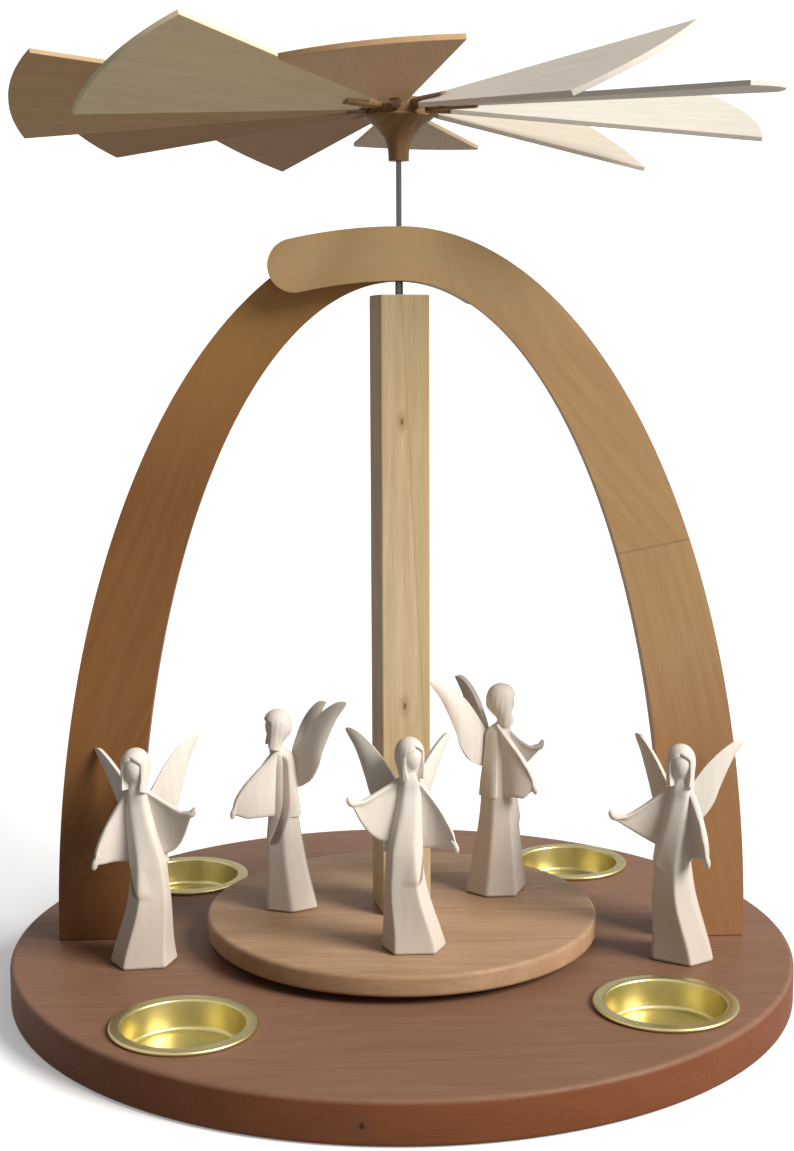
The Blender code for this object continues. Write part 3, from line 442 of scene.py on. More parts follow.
def cut_out(obj, *cutter_meshes):
    """The object's mesh with these shapes taken out of it."""
    helpers = [linked("cutter", mesh) for mesh in cutter_meshes]
    for helper in helpers:
        obj.modifiers.new("cut", "BOOLEAN").object = helper
    mesh = evaluated_mesh(obj)
    mesh.name = obj.name
    obj.modifiers.clear()
    obj.data = mesh
    mesh.set_sharp_from_angle(angle=radians(SHARP_ANGLE))
    for helper in helpers:
        bpy.data.objects.remove(helper, do_unlink=True)
    return obj


def moved(mesh, place):
    copy = mesh.copy()
    copy.transform(place)
    return copy


def mix(first, second, share):
    return first + (second - first) * share


def along_curve(points, share):
    """The point at a share of a smooth curve through the points."""
    spot = share * (len(points) - 1)
    index = min(int(spot), len(points) - 2)
    part = spot - index
    before, start, end, after = (Vector(points[min(max(index + step, 0), len(points) - 1)])
                                 for step in (-1, 0, 1, 2))
    bend = (end - before) / 2, (after - start) / 2
    square, cube = part * part, part ** 3
    return (start * (2 * cube - 3 * square + 1) + end * (3 * square - 2 * cube)
            + bend[0] * (cube - 2 * square + part) + bend[1] * (cube - square))


# Finishes

def shaded(colour, share):
    return tuple(value * share for value in colour)


def axes_along_x(wood):
    return wood.x, wood.y, wood.z


def axes_along_z(wood):
    return wood.z, wood.x, wood.y


class Wood(Finish):
    """Sawn wood: growth rings, drawn-out fibres, pores and soft patches."""

    def __init__(self, name, pale, dark, axes, ring, contrast, roughness, waver=0.5,
                 relief=0.00006):
        super().__init__(name)
        self.set("Specular IOR Level", WOOD_SPECULAR)
        self.axes = axes(self)
        _, across, depth = self.axes
        slow = self.noise((0.11, 0.022, 0.022), 1.0)
        growth = (across + depth * 0.3) / ring + slow * (8.0 * waver)
        bands = (growth * tau).sine() * 0.5 + 0.5
        fibres = self.noise((0.030, 0.0009, 0.0009), 3.0, 0.6)
        fine = self.noise((0.008, 0.00028, 0.00028), 2.0, 0.6)
        patches = self.noise((0.06, 0.03, 0.03))
        share = (bands * 0.30 + (fibres - 0.5) * 1.5 + (fine - 0.5) * 0.8
                 + (patches - 0.5) * 1.1)
        self.colour = self.blend((share * contrast + 0.45).rise(0.0, 1.0), pale, dark)
        self.stain_and_painted_light(fine.rise(0.60, 0.72) * 0.22 * contrast, shaded(dark, 0.55))
        self.set("Roughness", (fibres - 0.5) * 0.25 + roughness)
        self.bump(fibres * 0.6 + fine * 0.4, relief)

    # Blends a colour into the wood: real stains such as pores, knots and glue lines, and also painted
    # light and painted shade.
    def stain_and_painted_light(self, share, colour, mode="MIX"):
        self.colour = self.blend(share, self.colour, colour, mode)

    def stain_height(self, start, end, share, colour):
        """Painted light and shade: the colour given grows in from one height to another, up to a
        share.
        """
        self.stain_and_painted_light(self.z.rise(start, end, 0.0, share), colour)

    def done(self):
        self.set("Base Color", self.colour)
        return self


def oval(across, up, half_width, half_height):
    """How far out a place is in an oval: 1 on its edge."""
    return ((across / half_width) ** 2 + (up / half_height) ** 2).root()


def board_finish():
    """Stained board, with painted shade making its side darker, and a small dead knot in its edge at
    the front.
    """
    wood = Wood("brown_stained_board", (0.262, 0.139, 0.085), (0.182, 0.090, 0.053),
                axes_along_x, ring=0.016, contrast=0.40, roughness=0.50)
    # Painted shade: the board's side, below its top, is darker and redder.
    wood.stain_and_painted_light(wood.z.rise(0.0146, 0.0128) * 0.85, (0.76, 0.42, 0.20), "MULTIPLY")
    knot = oval(wood.x + 0.0185, wood.z - 0.0068, 1.0, 1.3)
    at_front = (-wood.y).rise(0.100, 0.110)
    wood.stain_and_painted_light(knot.rise(0.0042, 0.0012) * 0.55 * at_front, (0.120, 0.062, 0.034))
    wood.stain_and_painted_light(knot.rise(0.0011, 0.0005) * 0.85 * at_front, (0.030, 0.016, 0.010))
    return wood.done()


def arm_finish(name, pale, dark, joints, turns, *painted_lights):
    """Wood in segments: each glue line is a point and a direction, with the grain turned past it, and
    painted light and painted shade that change with height.
    """
    lines = []

    def axes(wood):
        for x, z, degrees in joints:
            turn = radians(degrees)
            lines.append((wood.x - x) * sin(turn) - (wood.z - z) * cos(turn))
        steps = [line.rise(-0.00005, 0.00005) for line in lines]

        def turned(part):
            parts = [part(radians(degrees)) for degrees in turns]
            return sum((step * (after - before)
                        for step, before, after in zip(steps, parts, parts[1:])), parts[0])

        cosine, sine = turned(cos), turned(sin)
        return wood.x * cosine + wood.z * sine, wood.z * cosine - wood.x * sine, wood.y

    wood = Wood(name, pale, dark, axes, ring=0.0072, contrast=0.45, roughness=0.46)
    for line in lines:
        wood.stain_and_painted_light(abs(line).rise(0.00055, 0.00012) * 0.36, shaded(dark, 0.42))
    # Painted light and painted shade, each growing in from one height to another.
    for stain_and_painted_light in painted_lights:
        wood.stain_height(*stain_and_painted_light)
    return wood.done()


def front_arm_finish():
    return arm_finish(
        "front_arm_wood", (0.500, 0.315, 0.155), (0.370, 0.212, 0.092),
        ((0.0180, 0.2550, 102.0), (0.1000, 0.1624, 11.0)), (18.0, 128.0, 104.0),
        # Painted light makes the arm lighter towards the top, and painted shade makes it darker
        # towards the foot.
        (0.225, 0.262, 0.60, (0.680, 0.470, 0.235)), (0.150, 0.040, 0.75, (0.290, 0.132, 0.052)))


def rear_arm_finish():
    return arm_finish(
        "rear_arm_wood", (0.275, 0.125, 0.040), (0.190, 0.080, 0.026),
        ((-0.1110, 0.0384, 1.0),), (66.0, 84.0),
        # Painted light makes the arm lighter towards the top, and painted shade makes it darker
        # towards the foot.
        (0.170, 0.245, 0.65, (0.480, 0.255, 0.085)), (0.120, 0.015, 0.66, (0.105, 0.042, 0.017)))


def post_finish():
    """Pine along the post, with a darker growth band and two small knots."""
    cosine, sine = cos(POST_TURN), sin(POST_TURN)

    def axes(wood):
        return wood.z, wood.x * cosine + wood.y * sine, wood.y * cosine - wood.x * sine

    wood = Wood("post_pine", (0.600, 0.475, 0.300), (0.450, 0.325, 0.172), axes, ring=0.0062,
                contrast=0.62, roughness=0.52, waver=0.35)
    _, across, depth = wood.axes
    edge = across - 0.0010 - (0.2020 - wood.z) * 0.052
    wood.stain_and_painted_light(edge.rise(-0.0002, 0.0004) * 0.42, (0.470, 0.345, 0.160))
    wood.stain_and_painted_light(abs(edge).rise(0.0007, 0.0001) * 0.30, (0.300, 0.190, 0.080))
    front = (-depth).rise(0.0080, 0.0085)
    for spot, height, size in POST_KNOTS:
        ring = oval(across - spot, wood.z - height, size, 2.4 * size)
        wood.stain_and_painted_light(ring.rise(2.2, 0.6) * 0.55 * front, (0.330, 0.205, 0.090))
        wood.stain_and_painted_light(ring.rise(0.62, 0.25) * 0.8 * front, (0.110, 0.055, 0.025))
    return wood.done()


def paddle_finish(number, direction, pitch):
    """Thin planed wood with the fibres along the paddle; its colour is painted light and painted
    shade, pale for a paddle lit at rest and brown for one in shade.
    """

    def axes(wood):
        out = wood.x * cos(direction) + wood.y * sin(direction)
        side = wood.y * cos(direction) - wood.x * sin(direction)
        up = wood.z - WHEEL_HEIGHT
        return (out + number * 0.37,
                side * cos(pitch) + up * sin(pitch) + number * 0.211,
                up * cos(pitch) - side * sin(pitch))

    pale = PADDLE_PAINTED_LIGHT_COLOURS[number - 1]
    return Wood(f"paddle_wood_{number}", pale, shaded(pale, 0.84), axes, ring=0.0085,
                contrast=0.55, roughness=0.55, waver=0.3).done()


def lime_finish():
    """Carved lime: close and pale, with faint fibres, painted shade darkening towards the hem and
    painted shade in the fold beside the flap.
    """
    wood = Wood("carved_lime", (0.738, 0.684, 0.622), (0.650, 0.588, 0.512),
                axes_along_z, ring=0.0050, contrast=0.45, roughness=0.55, relief=0.00004)
    fold = wood.value("ShaderNodeAttribute", (), "Fac", attribute_name="fold")
    # Painted shade: darker towards the hem.
    wood.stain_height(0.078, 0.020, 0.60, (0.455, 0.375, 0.300))
    # Painted shade in the fold beside the flap's free edge.
    wood.stain_and_painted_light(fold.rise(0.05, 0.45) * 0.80, (0.190, 0.135, 0.098))
    return wood.done()


def brass_finish(name, tint, roughness):
    """Turned brass: fine turning lines and a soft tarnish."""
    finish = Finish(name, roughness, metallic=1.0)
    patches = finish.noise((0.012, 0.012, 0.012), 3.0)
    fine = finish.noise((0.003, 0.003, 0.0003))
    finish.set("Base Color", finish.blend(patches.rise(0.35, 0.75) * 0.6, tint, shaded(tint, 0.72)))
    finish.set("Roughness", (fine - 0.5) * 0.10 + (patches - 0.5) * 0.10 + roughness)
    finish.bump(fine, 0.000003)
    return finish


def steel_finish(name, tint, roughness):
    finish = Finish(name, roughness, metallic=1.0)
    lines = finish.noise((0.004, 0.004, 0.0002))
    finish.set("Base Color", finish.blend(lines, tint, shaded(tint, 0.7)))
    finish.set("Roughness", (lines - 0.5) * 0.2 + roughness)
    finish.bump(lines, 0.00001)
    return finish


def glass_finish():
    finish = Finish("bearing_glass", 0.06)
    finish.set("Transmission Weight", 1.0)
    cloud = finish.noise((0.002, 0.002, 0.002))
    finish.set("Base Color", finish.blend(cloud, (0.86, 0.92, 0.92), (0.78, 0.86, 0.87)))
    finish.set("Roughness", cloud * 0.08 + 0.03)
    return finish


# Base, cups and screws

def cup_places():
    for index in range(CUP_COUNT):
        turn = CUP_RING_TURN + tau * index / CUP_COUNT
        yield CUP_RING_RADIUS * cos(turn), CUP_RING_RADIUS * sin(turn)


def screw_places():
    for side, foot in ((1, "front"), (-1, "rear")):
        for end, place in ((1, "outer"), (-1, "inner")):
            x = side * (SCREW_FOOT_MIDDLE + end * SCREW_SPACING / 2)
            yield f"foot_screw_{foot}_{place}", (x, -side * SCREW_PLANE)


def make_base(finish):
    """The board, with pockets for the cups and the bearing and countersunk holes below."""
    low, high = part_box("base_plate")
    above = high.z + CUT_MARGIN
    base = round_board("base_board", low, high, BASE_EDGE_ROUND, finish)
    cup_low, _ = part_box("tealight_cup_front_right")
    pocket = rod("pocket", CUP_MOUTH_RADIUS + CUP_SHEET + GAP, cup_low.z - GAP, above, CUP_SIDES)
    cutters = [moved(pocket, Matrix.Translation((*place, 0))) for place in cup_places()]
    bearing_low, bearing_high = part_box("pivot_bearing")
    cutters.append(rod("seat", bearing_high.x + GAP, bearing_low.z - GAP, above))
    hole = lathe("hole", SCREW_HOLE, 32)
    cutters += [moved(hole, Matrix.Translation((*place, 0))) for _, place in screw_places()]
    carry(cut_out(base, *cutters), "stand", "brown_stained_wood", "base_plate")


def cup_mesh():
    """One sheet from the rolled rim over the wall and the bead to the floor, and back outside."""
    low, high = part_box("tealight_cup_front_right")
    rim_z, floor_z = high.z, low.z + CUP_SHEET
    roll, sheet, foot_round = CUP_ROLL, CUP_SHEET, CUP_FLOOR_ROUND
    wall_foot = (CUP_FLOOR_RADIUS - foot_round, floor_z + foot_round)
    lip = (CUP_MOUTH_RADIUS + 0.0004, rim_z - CUP_LIP_ROUND)
    inner = [(0, floor_z + 0.0003), (0.6 * CUP_FLOOR_RADIUS, floor_z + 0.0003),
             (CUP_FLOOR_RADIUS - 0.0034, floor_z + 0.0001), (CUP_FLOOR_RADIUS - 0.0026, floor_z)]
    inner += arc(wall_foot, foot_round, -90, 0, 6)
    inner += arc(lip, CUP_LIP_ROUND, 180, 90, 5)
    inner += arc((CUP_RIM_RADIUS - roll, rim_z - roll), roll, 90, -60, 8)
    outer = [(CUP_RIM_RADIUS - roll, rim_z - sheet)]
    outer += [(radius + sheet * 0.9, height - sheet * 0.45)
              for radius, height in arc(lip, CUP_LIP_ROUND, 90, 180, 5)]
    outer += arc(wall_foot, foot_round + sheet, 0, -90, 6)
    outer.append((0, floor_z - sheet))
    return lathe("spun_cup", inner + outer, CUP_SIDES)


def ring_recipe():
    """Copies of a piece round a ring."""
    recipe = Recipe("pieces_on_ring", "ring_radius first_turn", count="Int", piece="Object")
    circle = recipe.value("GeometryNodeMeshCircle", {
        "Vertices": recipe.size("count"), "Radius": recipe.size("ring_radius")})
    rotation = recipe.vector(0.0, 0.0, recipe.size("first_turn"))
    return recipe.ends_with(recipe.spread(recipe.turned(circle, rotation)))


def foot_recipe():
    """A pair of copies under one foot of the arch, and the same under the other."""
    recipe = Recipe("pieces_under_feet", "spacing foot_middle plane", piece="Object")
    spacing, middle = recipe.size("spacing"), recipe.size("foot_middle")
    start = recipe.vector(middle - spacing / 2.0, -recipe.size("plane"), 0.0)
    pair = recipe.spread(recipe.value("GeometryNodeMeshLine", {
        "Count": 2, "Start Location": start, "Offset": recipe.vector(spacing, 0.0, 0.0)}))
    both = recipe.node("GeometryNodeJoinGeometry")
    for half in (pair, recipe.turned(pair, (0, 0, pi))):
        recipe.tree.links.new(half.socket, both.inputs[0])
    return recipe.ends_with(both.outputs[0])


def make_cups(finish):
    cups = ring_recipe().made(
        "spun_cups", finish, count=CUP_COUNT, ring_radius=CUP_RING_RADIUS,
        first_turn=CUP_RING_TURN, piece=hidden_piece("cup_to_copy", cup_mesh()))
    carry(cups, "stand", "cup_brass", *[f"tealight_cup_{place}" for place in CUP_NAMES])


def make_screws(finish):
    """Countersunk screws with a cross slot."""
    low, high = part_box("foot_screw_front_outer")
    head, shank = SCREW_HEAD_RADIUS, SCREW_SHANK_RADIUS
    profile = [(0, high.z), (shank / 3, high.z), (shank, high.z - SCREW_POINT),
               (shank, low.z + SCREW_HEAD_HEIGHT), (head, low.z + 0.0003), (head, low.z), (0, low.z)]
    screw = linked("screw_to_copy", lathe("screw", profile, 24))
    cut_out(screw, *(block("slot", low.z, *sizes, 2 * SCREW_SLOT_DEPTH)
                     for sizes in (SCREW_SLOT, SCREW_SLOT[::-1])))
    screws = foot_recipe().made(
        "foot_screws", finish, spacing=SCREW_SPACING, foot_middle=SCREW_FOOT_MIDDLE,
        plane=SCREW_PLANE, piece=screw)
    bpy.data.objects.remove(screw, do_unlink=True)
    carry(screws, "stand", "steel", *[name for name, _ in screw_places()])


# Arch

def arch_pairs(turns):
    """Outer and inner points of the arch at these angles."""
    return [[(half_width * cos(turn), ARCH_FOOT_Z + height * sin(turn))
             for half_width, height in (ARCH_OUTER, ARCH_INNER)] for turn in turns]


def arm_plate(name, pairs, planes, finish):
    """A flat arm between outer and inner points; the last pair meets at its round end."""
    bm = bmesh.new()
    columns = [[bm.verts.new((x, y, z)) for x, z in pair for y in planes] for pair in pairs]
    for first, second in zip(columns, columns[1:]):
        for start, end in ((0, 2), (2, 3), (3, 1), (1, 0)):
            bm.faces.new((first[start], first[end], second[end], second[start]))
    for column in (columns[0], columns[-1]):
        bm.faces.new([column[index] for index in (0, 2, 3, 1)])
    return add_piece(name, mesh_from(merged(bm), name), finish)


def round_end_pairs(outer, inner, side):
    """Pairs that close an arm with a half circle, on the side where it ends."""
    outer, inner = Vector(outer), Vector(inner)
    centre, spoke = (outer + inner) / 2, (outer - inner) / 2
    way = Vector((-spoke.y, spoke.x)) * side
    pairs = []
    for step in range(1, ROUND_END_STEPS + 1):
        turn = pi / 2 * step / ROUND_END_STEPS
        forward = way * sin(turn)
        if step == ROUND_END_STEPS:
            turn -= LAST_PAIR_GAP
        pairs.append((tuple(centre + forward + spoke * cos(turn)),
                      tuple(centre + forward - spoke * cos(turn))))
    return pairs


def make_arch(front_finish, rear_finish, brass):
    front = arch_pairs([pi / 2 * step / ARCH_STEPS for step in range(ARCH_STEPS + 1)])
    top, bottom = front[-1][0][1], front[-1][1][1]
    middle_z, half_depth = (top + bottom) / 2, (top - bottom) / 2
    for step in range(1, LAP_STEPS + 1):
        x = -FRONT_LAP_REACH * step / LAP_STEPS
        middle = Vector((x, middle_z - FRONT_LAP_DROOP * x * x))
        across = Vector((2 * FRONT_LAP_DROOP * x, 1.0)).normalized() * half_depth
        front.append((tuple(middle + across), tuple(middle - across)))
    front += round_end_pairs(*front[-1], 1)
    end = acos(REAR_LAP_REACH / ((ARCH_OUTER[0] + ARCH_INNER[0]) / 2))
    rear = arch_pairs([pi + (end - pi) * step / REAR_ARCH_STEPS
                       for step in range(REAR_ARCH_STEPS + 1)])
    rear += round_end_pairs(*rear[-1], -1)
    bore = rod("bore", BUSH_RADIUS + GAP, bottom - CUT_MARGIN, top + CUT_MARGIN)
    for name, pairs, finish in (("front", front, front_finish), ("rear", rear, rear_finish)):
        arm = arm_plate(f"{name}_arm", pairs, ARM_PLANES[name], finish)
        cut_out(arm, bore.copy())
        soften(arm, ARM_EDGE_ROUND, 3)
        carry(arm, "stand", "arch_wood", f"arch_arm_{name}")
    make_bush(top, bottom, brass)


def make_bush(top, bottom, brass):
    """A tube with bevelled ends, a little shorter than the arms' bore."""
    edge = BUSH_EDGE
    inner, outer, top, bottom = BUSH_BORE_RADIUS, BUSH_RADIUS, top - edge, bottom + edge
    profile = [(inner, top - edge), (inner + edge, top), (outer - edge, top), (outer, top - edge),
               (outer, bottom + edge), (outer - edge, bottom), (inner + edge, bottom),
               (inner, bottom + edge)]
    bush = lathe("shaft_bush", [*profile, profile[0]], SMALL_SIDES, closed=True)
    carry(add_piece("shaft_bush", bush, brass), "stand", "brass", "guide_bush")


# Rotor

def make_turntable(finish):
    low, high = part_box("turntable")
    table = round_board("round_table", low, high, TABLE_EDGE_ROUND, finish)
    cut_out(table, rod("hole", TABLE_HOLE_RADIUS, low.z - CUT_MARGIN, high.z + CUT_MARGIN))
    carry(table, "rotor", "turntable_wood", "turntable")


def make_shaft(finish):
    """A thin rod, thicker below its shoulder."""
    low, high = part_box("shaft")
    upper, lower = SHAFT_RADIUS, SHAFT_SHOULDER_RADIUS
    shoulder_z = ARCH_FOOT_Z + ARCH_INNER[1] - GAP
    profile = [(0, high.z), (upper, high.z), (upper, shoulder_z + 0.0001),
               (lower - 0.0001, shoulder_z), (lower, shoulder_z - 0.0001), (lower, low.z), (0, low.z)]
    shaft = add_piece("thin_shaft", lathe("thin_shaft", profile, 32), finish)
    carry(shaft, "rotor", "steel", "shaft")


def make_hub(finish):
    """A trumpet below, a thin flange and a drum with a hole for each dowel."""
    low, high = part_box("hub")
    neck, flange, drum = HUB_NECK_RADIUS, HUB_FLANGE_RADIUS, HUB_DRUM_RADIUS
    drum_z = low.z + HUB_TRUMPET_HEIGHT + HUB_FLANGE_THICKNESS
    profile = [(0, high.z), (0.45 * drum, high.z - 0.00005), (0.8 * drum, high.z - 0.0004)]
    edge = HUB_DRUM_ROUND
    profile += arc((drum - edge, high.z - 2 * edge), edge, 70, 0, 5)
    profile += [(drum, drum_z + 0.0002), (drum + 0.0002, drum_z)]
    edge = HUB_FLANGE_ROUND
    profile += arc((flange - 0.0004, drum_z - edge), edge, 90, -60, 7)
    for step in range(1, TRUMPET_STEPS + 1):
        share = 1 - step / TRUMPET_STEPS
        profile.append((neck + (flange - neck) * share ** TRUMPET_POWER,
                        low.z + HUB_TRUMPET_HEIGHT * share))
    bore, bore_z = HUB_BORE_RADIUS, low.z + HUB_BORE_DEPTH
    profile += [(neck - 0.0003, low.z), (bore, low.z), (bore, bore_z), (0, bore_z)]
    hub = add_piece("turned_hub", lathe("turned_hub", profile, CUP_SIDES), finish)
    stem_z = drum_z + (high.z - drum_z) / 2
    hole = rod("hole", PEG_RADIUS + GAP, drum - PEG_DEPTH, drum + CUT_MARGIN, 20)
    outwards = Matrix.Rotation(pi / 2, 4, "Y")
    holes = [moved(hole, Matrix.Translation((0, 0, stem_z))
                   @ Matrix.Rotation(joint.direction, 4, "Z") @ outwards)
             for joint in paddle_joints()]
    carry(cut_out(hub, *holes), "rotor", "hub_wood", "hub")
    return stem_z


PaddleJoint = namedtuple("PaddleJoint", "number direction pitch")


def paddle_joints():
    """Each paddle's direction and pitch, from its joint: its lower limit lays it flat."""
    for joint in frame["joints"]:
        if joint["name"].endswith("_pitch"):
            number = int(joint["name"].split("_")[1])
            direction = atan2(joint["axis"][1], joint["axis"][0])
            yield PaddleJoint(number, direction, -radians(joint["range_deg"][0]))


class PaddleRecipe(Recipe):
    """What it makes is turned to a paddle's pitch and direction and lifted to the wheel."""

    def __init__(self, name, sizes="", **others):
        super().__init__(name, f"{sizes} pitch direction height", **others)

    def ends_with(self, geometry):
        turns = self.vector(self.size("pitch"), 0.0, self.size("direction"))
        place = self.vector(0.0, 0.0, self.size("height"))
        return super().ends_with(self.turned(geometry, turns, place))


def blade_recipe():
    """A thin plate with straight sides and an arched tip."""
    recipe = PaddleRecipe("paddle", " ".join(PADDLE_SIZES))
    plate = recipe.value("GeometryNodeMeshCube", {
        "Size": (1, 1, 1), "Vertices X": 2, "Vertices Y": 33, "Vertices Z": 2})
    x, y, z = recipe.parts_of(recipe.value("GeometryNodeInputPosition"))
    length, side = x + 0.5, y * 2.0
    root, corner = recipe.size("root_radius"), recipe.size("corner_radius")
    reach = corner - root + recipe.size("tip_crown") * (1.0 - side * side)
    half_root, half_tip = recipe.size("root_width") / 2.0, recipe.size("tip_width") / 2.0
    spot = recipe.vector(root + length * reach,
                         side * (half_root + length * (half_tip - half_root)),
                         z * recipe.size("thickness"))
    return recipe.ends_with(
        recipe.value("GeometryNodeSetPosition", {"Geometry": plate, "Position": spot}))


def stem_recipe():
    """A copied dowel."""
    recipe = PaddleRecipe("paddle_stem", piece="Object")
    return recipe.ends_with(recipe.piece())


def dowel_mesh():
    """A round-ended dowel along +X with a peg, slotted for the paddle's root."""
    start, end, radius = HUB_DRUM_RADIUS + GAP, STEM_END_RADIUS, STEM_RADIUS
    peg, peg_start, edge = PEG_RADIUS, start - PEG_DEPTH, STEM_END_ROUND
    profile = [(0, end), *arc((radius - edge, end - edge), edge, 90, 0, 4),
               (radius, start + 0.0002), (radius - 0.0002, start), (peg, start),
               (peg, peg_start), (0, peg_start)]
    low, high = STEM_SLOT_START, end + CUT_MARGIN
    slot = block("slot", (low + high) / 2, STEM_SLOT_WIDTH, 0.01, high - low)
    mesh = used_up(cut_out(linked("dowel", lathe("dowel", profile, 32)), slot))
    mesh.transform(Matrix.Rotation(pi / 2, 4, "Y"))
    return mesh


def make_paddles(stem_finish, stem_z):
    blade, stem = blade_recipe(), stem_recipe()
    dowel = hidden_piece("dowel_to_copy", dowel_mesh())
    for number, direction, pitch in paddle_joints():
        name = f"paddle_{number}"
        place = {"pitch": pitch, "direction": direction, "height": stem_z}
        plate = blade.made(f"blade_{number}", paddle_finish(number, direction, pitch),
                           **PADDLE_SIZES, **place)
        soften(plate, 0.0003, 2, 60)
        carry(plate, name, "paddle_wood", name)
        peg = stem.made(f"dowel_{number}", stem_finish, piece=dowel, **place)
        carry(peg, name, "hub_wood", f"paddle_stem_{number}")


# Angels: each is carved facing -Y with its left hand at +X, then turned to its heading

# The robe's half width, depth in front and depth behind at four heights
HEM = (0.0120, 0.0077, 0.0120)
WAIST = (0.0067, 0.0058, 0.0060)
SHOULDER = (0.0044, 0.0040, 0.0044)
COLLAR = (0.0021, 0.0030, 0.0013)
FRONT_SHARE = 0.62
FIGURE_HEIGHT = 0.0776
CAPE_HEM, CAPE_RISE = 0.0362, 0.0008
RAISED_HEM = 0.0395
SLEEVE_TOP = 0.0636
SHOULDER_HEIGHT = 0.0600
COLLAR_HEIGHT = 0.0632
COLLAR_PEAK, COLLAR_RISE = 0.0017, 0.0006
CHIN, CHIN_FORWARD = (0.0575, 0.0635), 0.0012
# The last is how far round from the flap's edge the painted shade of the fold reaches.
FLAP_RISE, FLAP_HOLLOW, FOLD_SHADE_TURN = 0.0008, 0.0002, 0.80
FLAP_STEPS, ROBE_STEPS, ROBE_ROWS = 42, 60, 70
ROBE_START = radians(-80)
ROW_GAP = 0.0002
ARM_RADIUS, DRAPE_THICKNESS, DRAPE_BOW = 0.0013, 0.0011, 0.0024
SLEEVE_ROOT = (0.0026, 0.0006)
SLEEVE_STEPS, SLEEVE_ROWS = 26, 15
LEAST_DRAPE = 0.0016
CUFF_RISE, CAPE_SCALLOP = 0.0007, 0.0007
RAISED_WRIST, LOWERED_WRIST = 0.0016, 0.0019
HAND_FLATNESS = 0.72
TIGHT_DROPS = (0.0, 0.015, 0.04, 0.08, 0.13)
RAISED, LOWERED = "raised", "lowered"
# Points along each hand: how far past the wrist, how high and how wide
HAND_PATHS = {
    RAISED: ((-0.0030, 0.0, 0.0006), (-0.0012, -0.0001, 0.0010), (0.0003, 0.0001, 0.0012),
             (0.0012, 0.0014, 0.0011), (0.0015, 0.0026, 0.0005)),
    LOWERED: ((-0.0016, 0.0020, 0.0009), (-0.0006, 0.0006, 0.0010), (-0.0001, -0.0008, 0.0011),
              (0.0001, -0.0020, 0.0009), (0.0, -0.0026, 0.0004))}
HAND_STEPS, HAND_SIDES = 16, 18
HEAD_TALL = FIGURE_HEIGHT - COLLAR_HEIGHT - GAP
HEAD_WIDTH, HEAD_DEPTH, HEAD_FORWARD = 0.0052, 0.0056, 0.0013
FACE_WIDTH, FACE_DEPTH = 0.0042, 0.0050
FACE_MIDDLE, FACE_HALF_HEIGHT = 0.51, 0.42
HAIR_LIFT, HAIR_SLANT = 0.0006, 0.0020
HAIR_ROWS, HAIR_STEPS, OPENING_STEPS, HAIR_STRANDS = 46, 60, 12, 17
FACE_ROWS, FACE_SIDES = 24, 32
WING_REACH, WING_RISE, WING_THICKNESS, WING_BOW = 0.0230, 0.0292, 0.0016, 0.0020
WING_SPREAD = radians(49.0)
WING_ROOT_HEIGHT, WING_ROOT_OFFSET = 0.0465, 0.0022
WING_BLUNT, WING_TIP_SHARE = 0.86, 0.12
WING_SHARES = (*(step / 30 for step in range(29)), 0.955, 0.972, 0.986, 0.995)
WING_COLUMNS = 12
# Points along the lower and the upper outline, as shares of the reach and the rise
WING_LOWER = ((0.0, 0.0), (0.24, 0.08), (0.42, 0.24), (0.54, 0.45), (0.76, 0.77), (0.98, 0.96))
WING_UPPER = ((0.0, 0.43), (0.15, 0.57), (0.34, 0.74), (0.57, 0.885), (0.80, 0.98), (0.98, 1.005))

Hand = namedtuple("Hand", "side forward height pose fall", defaults=(0.0,))
Angel = namedtuple(
    "Angel", "name body x y heading height lean sway head_turn wing_turn wing_roll wing_size "
    "skirt_turn flap_side flap left right")
LONG_FLAP, SHORT_FLAP = (0.0240, 0.0430), (0.0315, 0.0400)
ANGELS = (
    Angel("left", "stand", -0.0938, -0.0240, -98.0, 0.0782, (0.0, 0.0), 0.0034, -10.0, -4.0, -10.0,
          1.0, 14.0, -1, LONG_FLAP,
          Hand(0.0198, 0.0050, 0.0560, RAISED, 2.8), Hand(0.0139, 0.0080, 0.0388, LOWERED)),
    Angel("right", "stand", 0.0988, -0.0300, -104.0, 0.0781, (-0.0018, 0.0), -0.0029, 0.0, -11.0,
          -1.0, 1.0, -20.0, -1, SHORT_FLAP,
          Hand(0.0096, 0.0105, 0.0392, LOWERED), Hand(0.0226, 0.0060, 0.0520, RAISED, 1.3)),
    Angel("centre", "rotor", 0.0027, -0.0450, -76.0, 0.0748, (-0.0034, 0.0), -0.0028, 12.0, -2.0, 6.0,
          1.0, -14.0, 1, LONG_FLAP,
          Hand(0.0143, 0.0080, 0.0392, LOWERED), Hand(0.0220, 0.0050, 0.0567, RAISED, 2.4)),
    Angel("back_left", "rotor", -0.0429, 0.0050, -169.0, 0.0742, (0.0, 0.0014), 0.0, 0.0, 0.0, -11.0,
          1.10, -8.0, 1, LONG_FLAP,
          Hand(0.0060, 0.0205, 0.0402, LOWERED), Hand(0.0110, 0.0120, 0.0400, LOWERED)),
    Angel("back_right", "rotor", 0.0390, 0.0180, -18.0, 0.0800, (0.0, -0.0018), 0.0, 16.0, 0.0, 8.0,
          1.08, -4.0, 1, LONG_FLAP,
          Hand(0.0145, 0.0125, 0.0517, RAISED, 2.0), Hand(0.0070, 0.0148, 0.0418, LOWERED)),
)


def smooth(value, start=0.0, end=1.0):
    """A smooth step from 0 to 1 as the value goes from start to end."""
    share = min(1.0, max(0.0, (value - start) / (end - start)))
    return share * share * (3 - 2 * share)


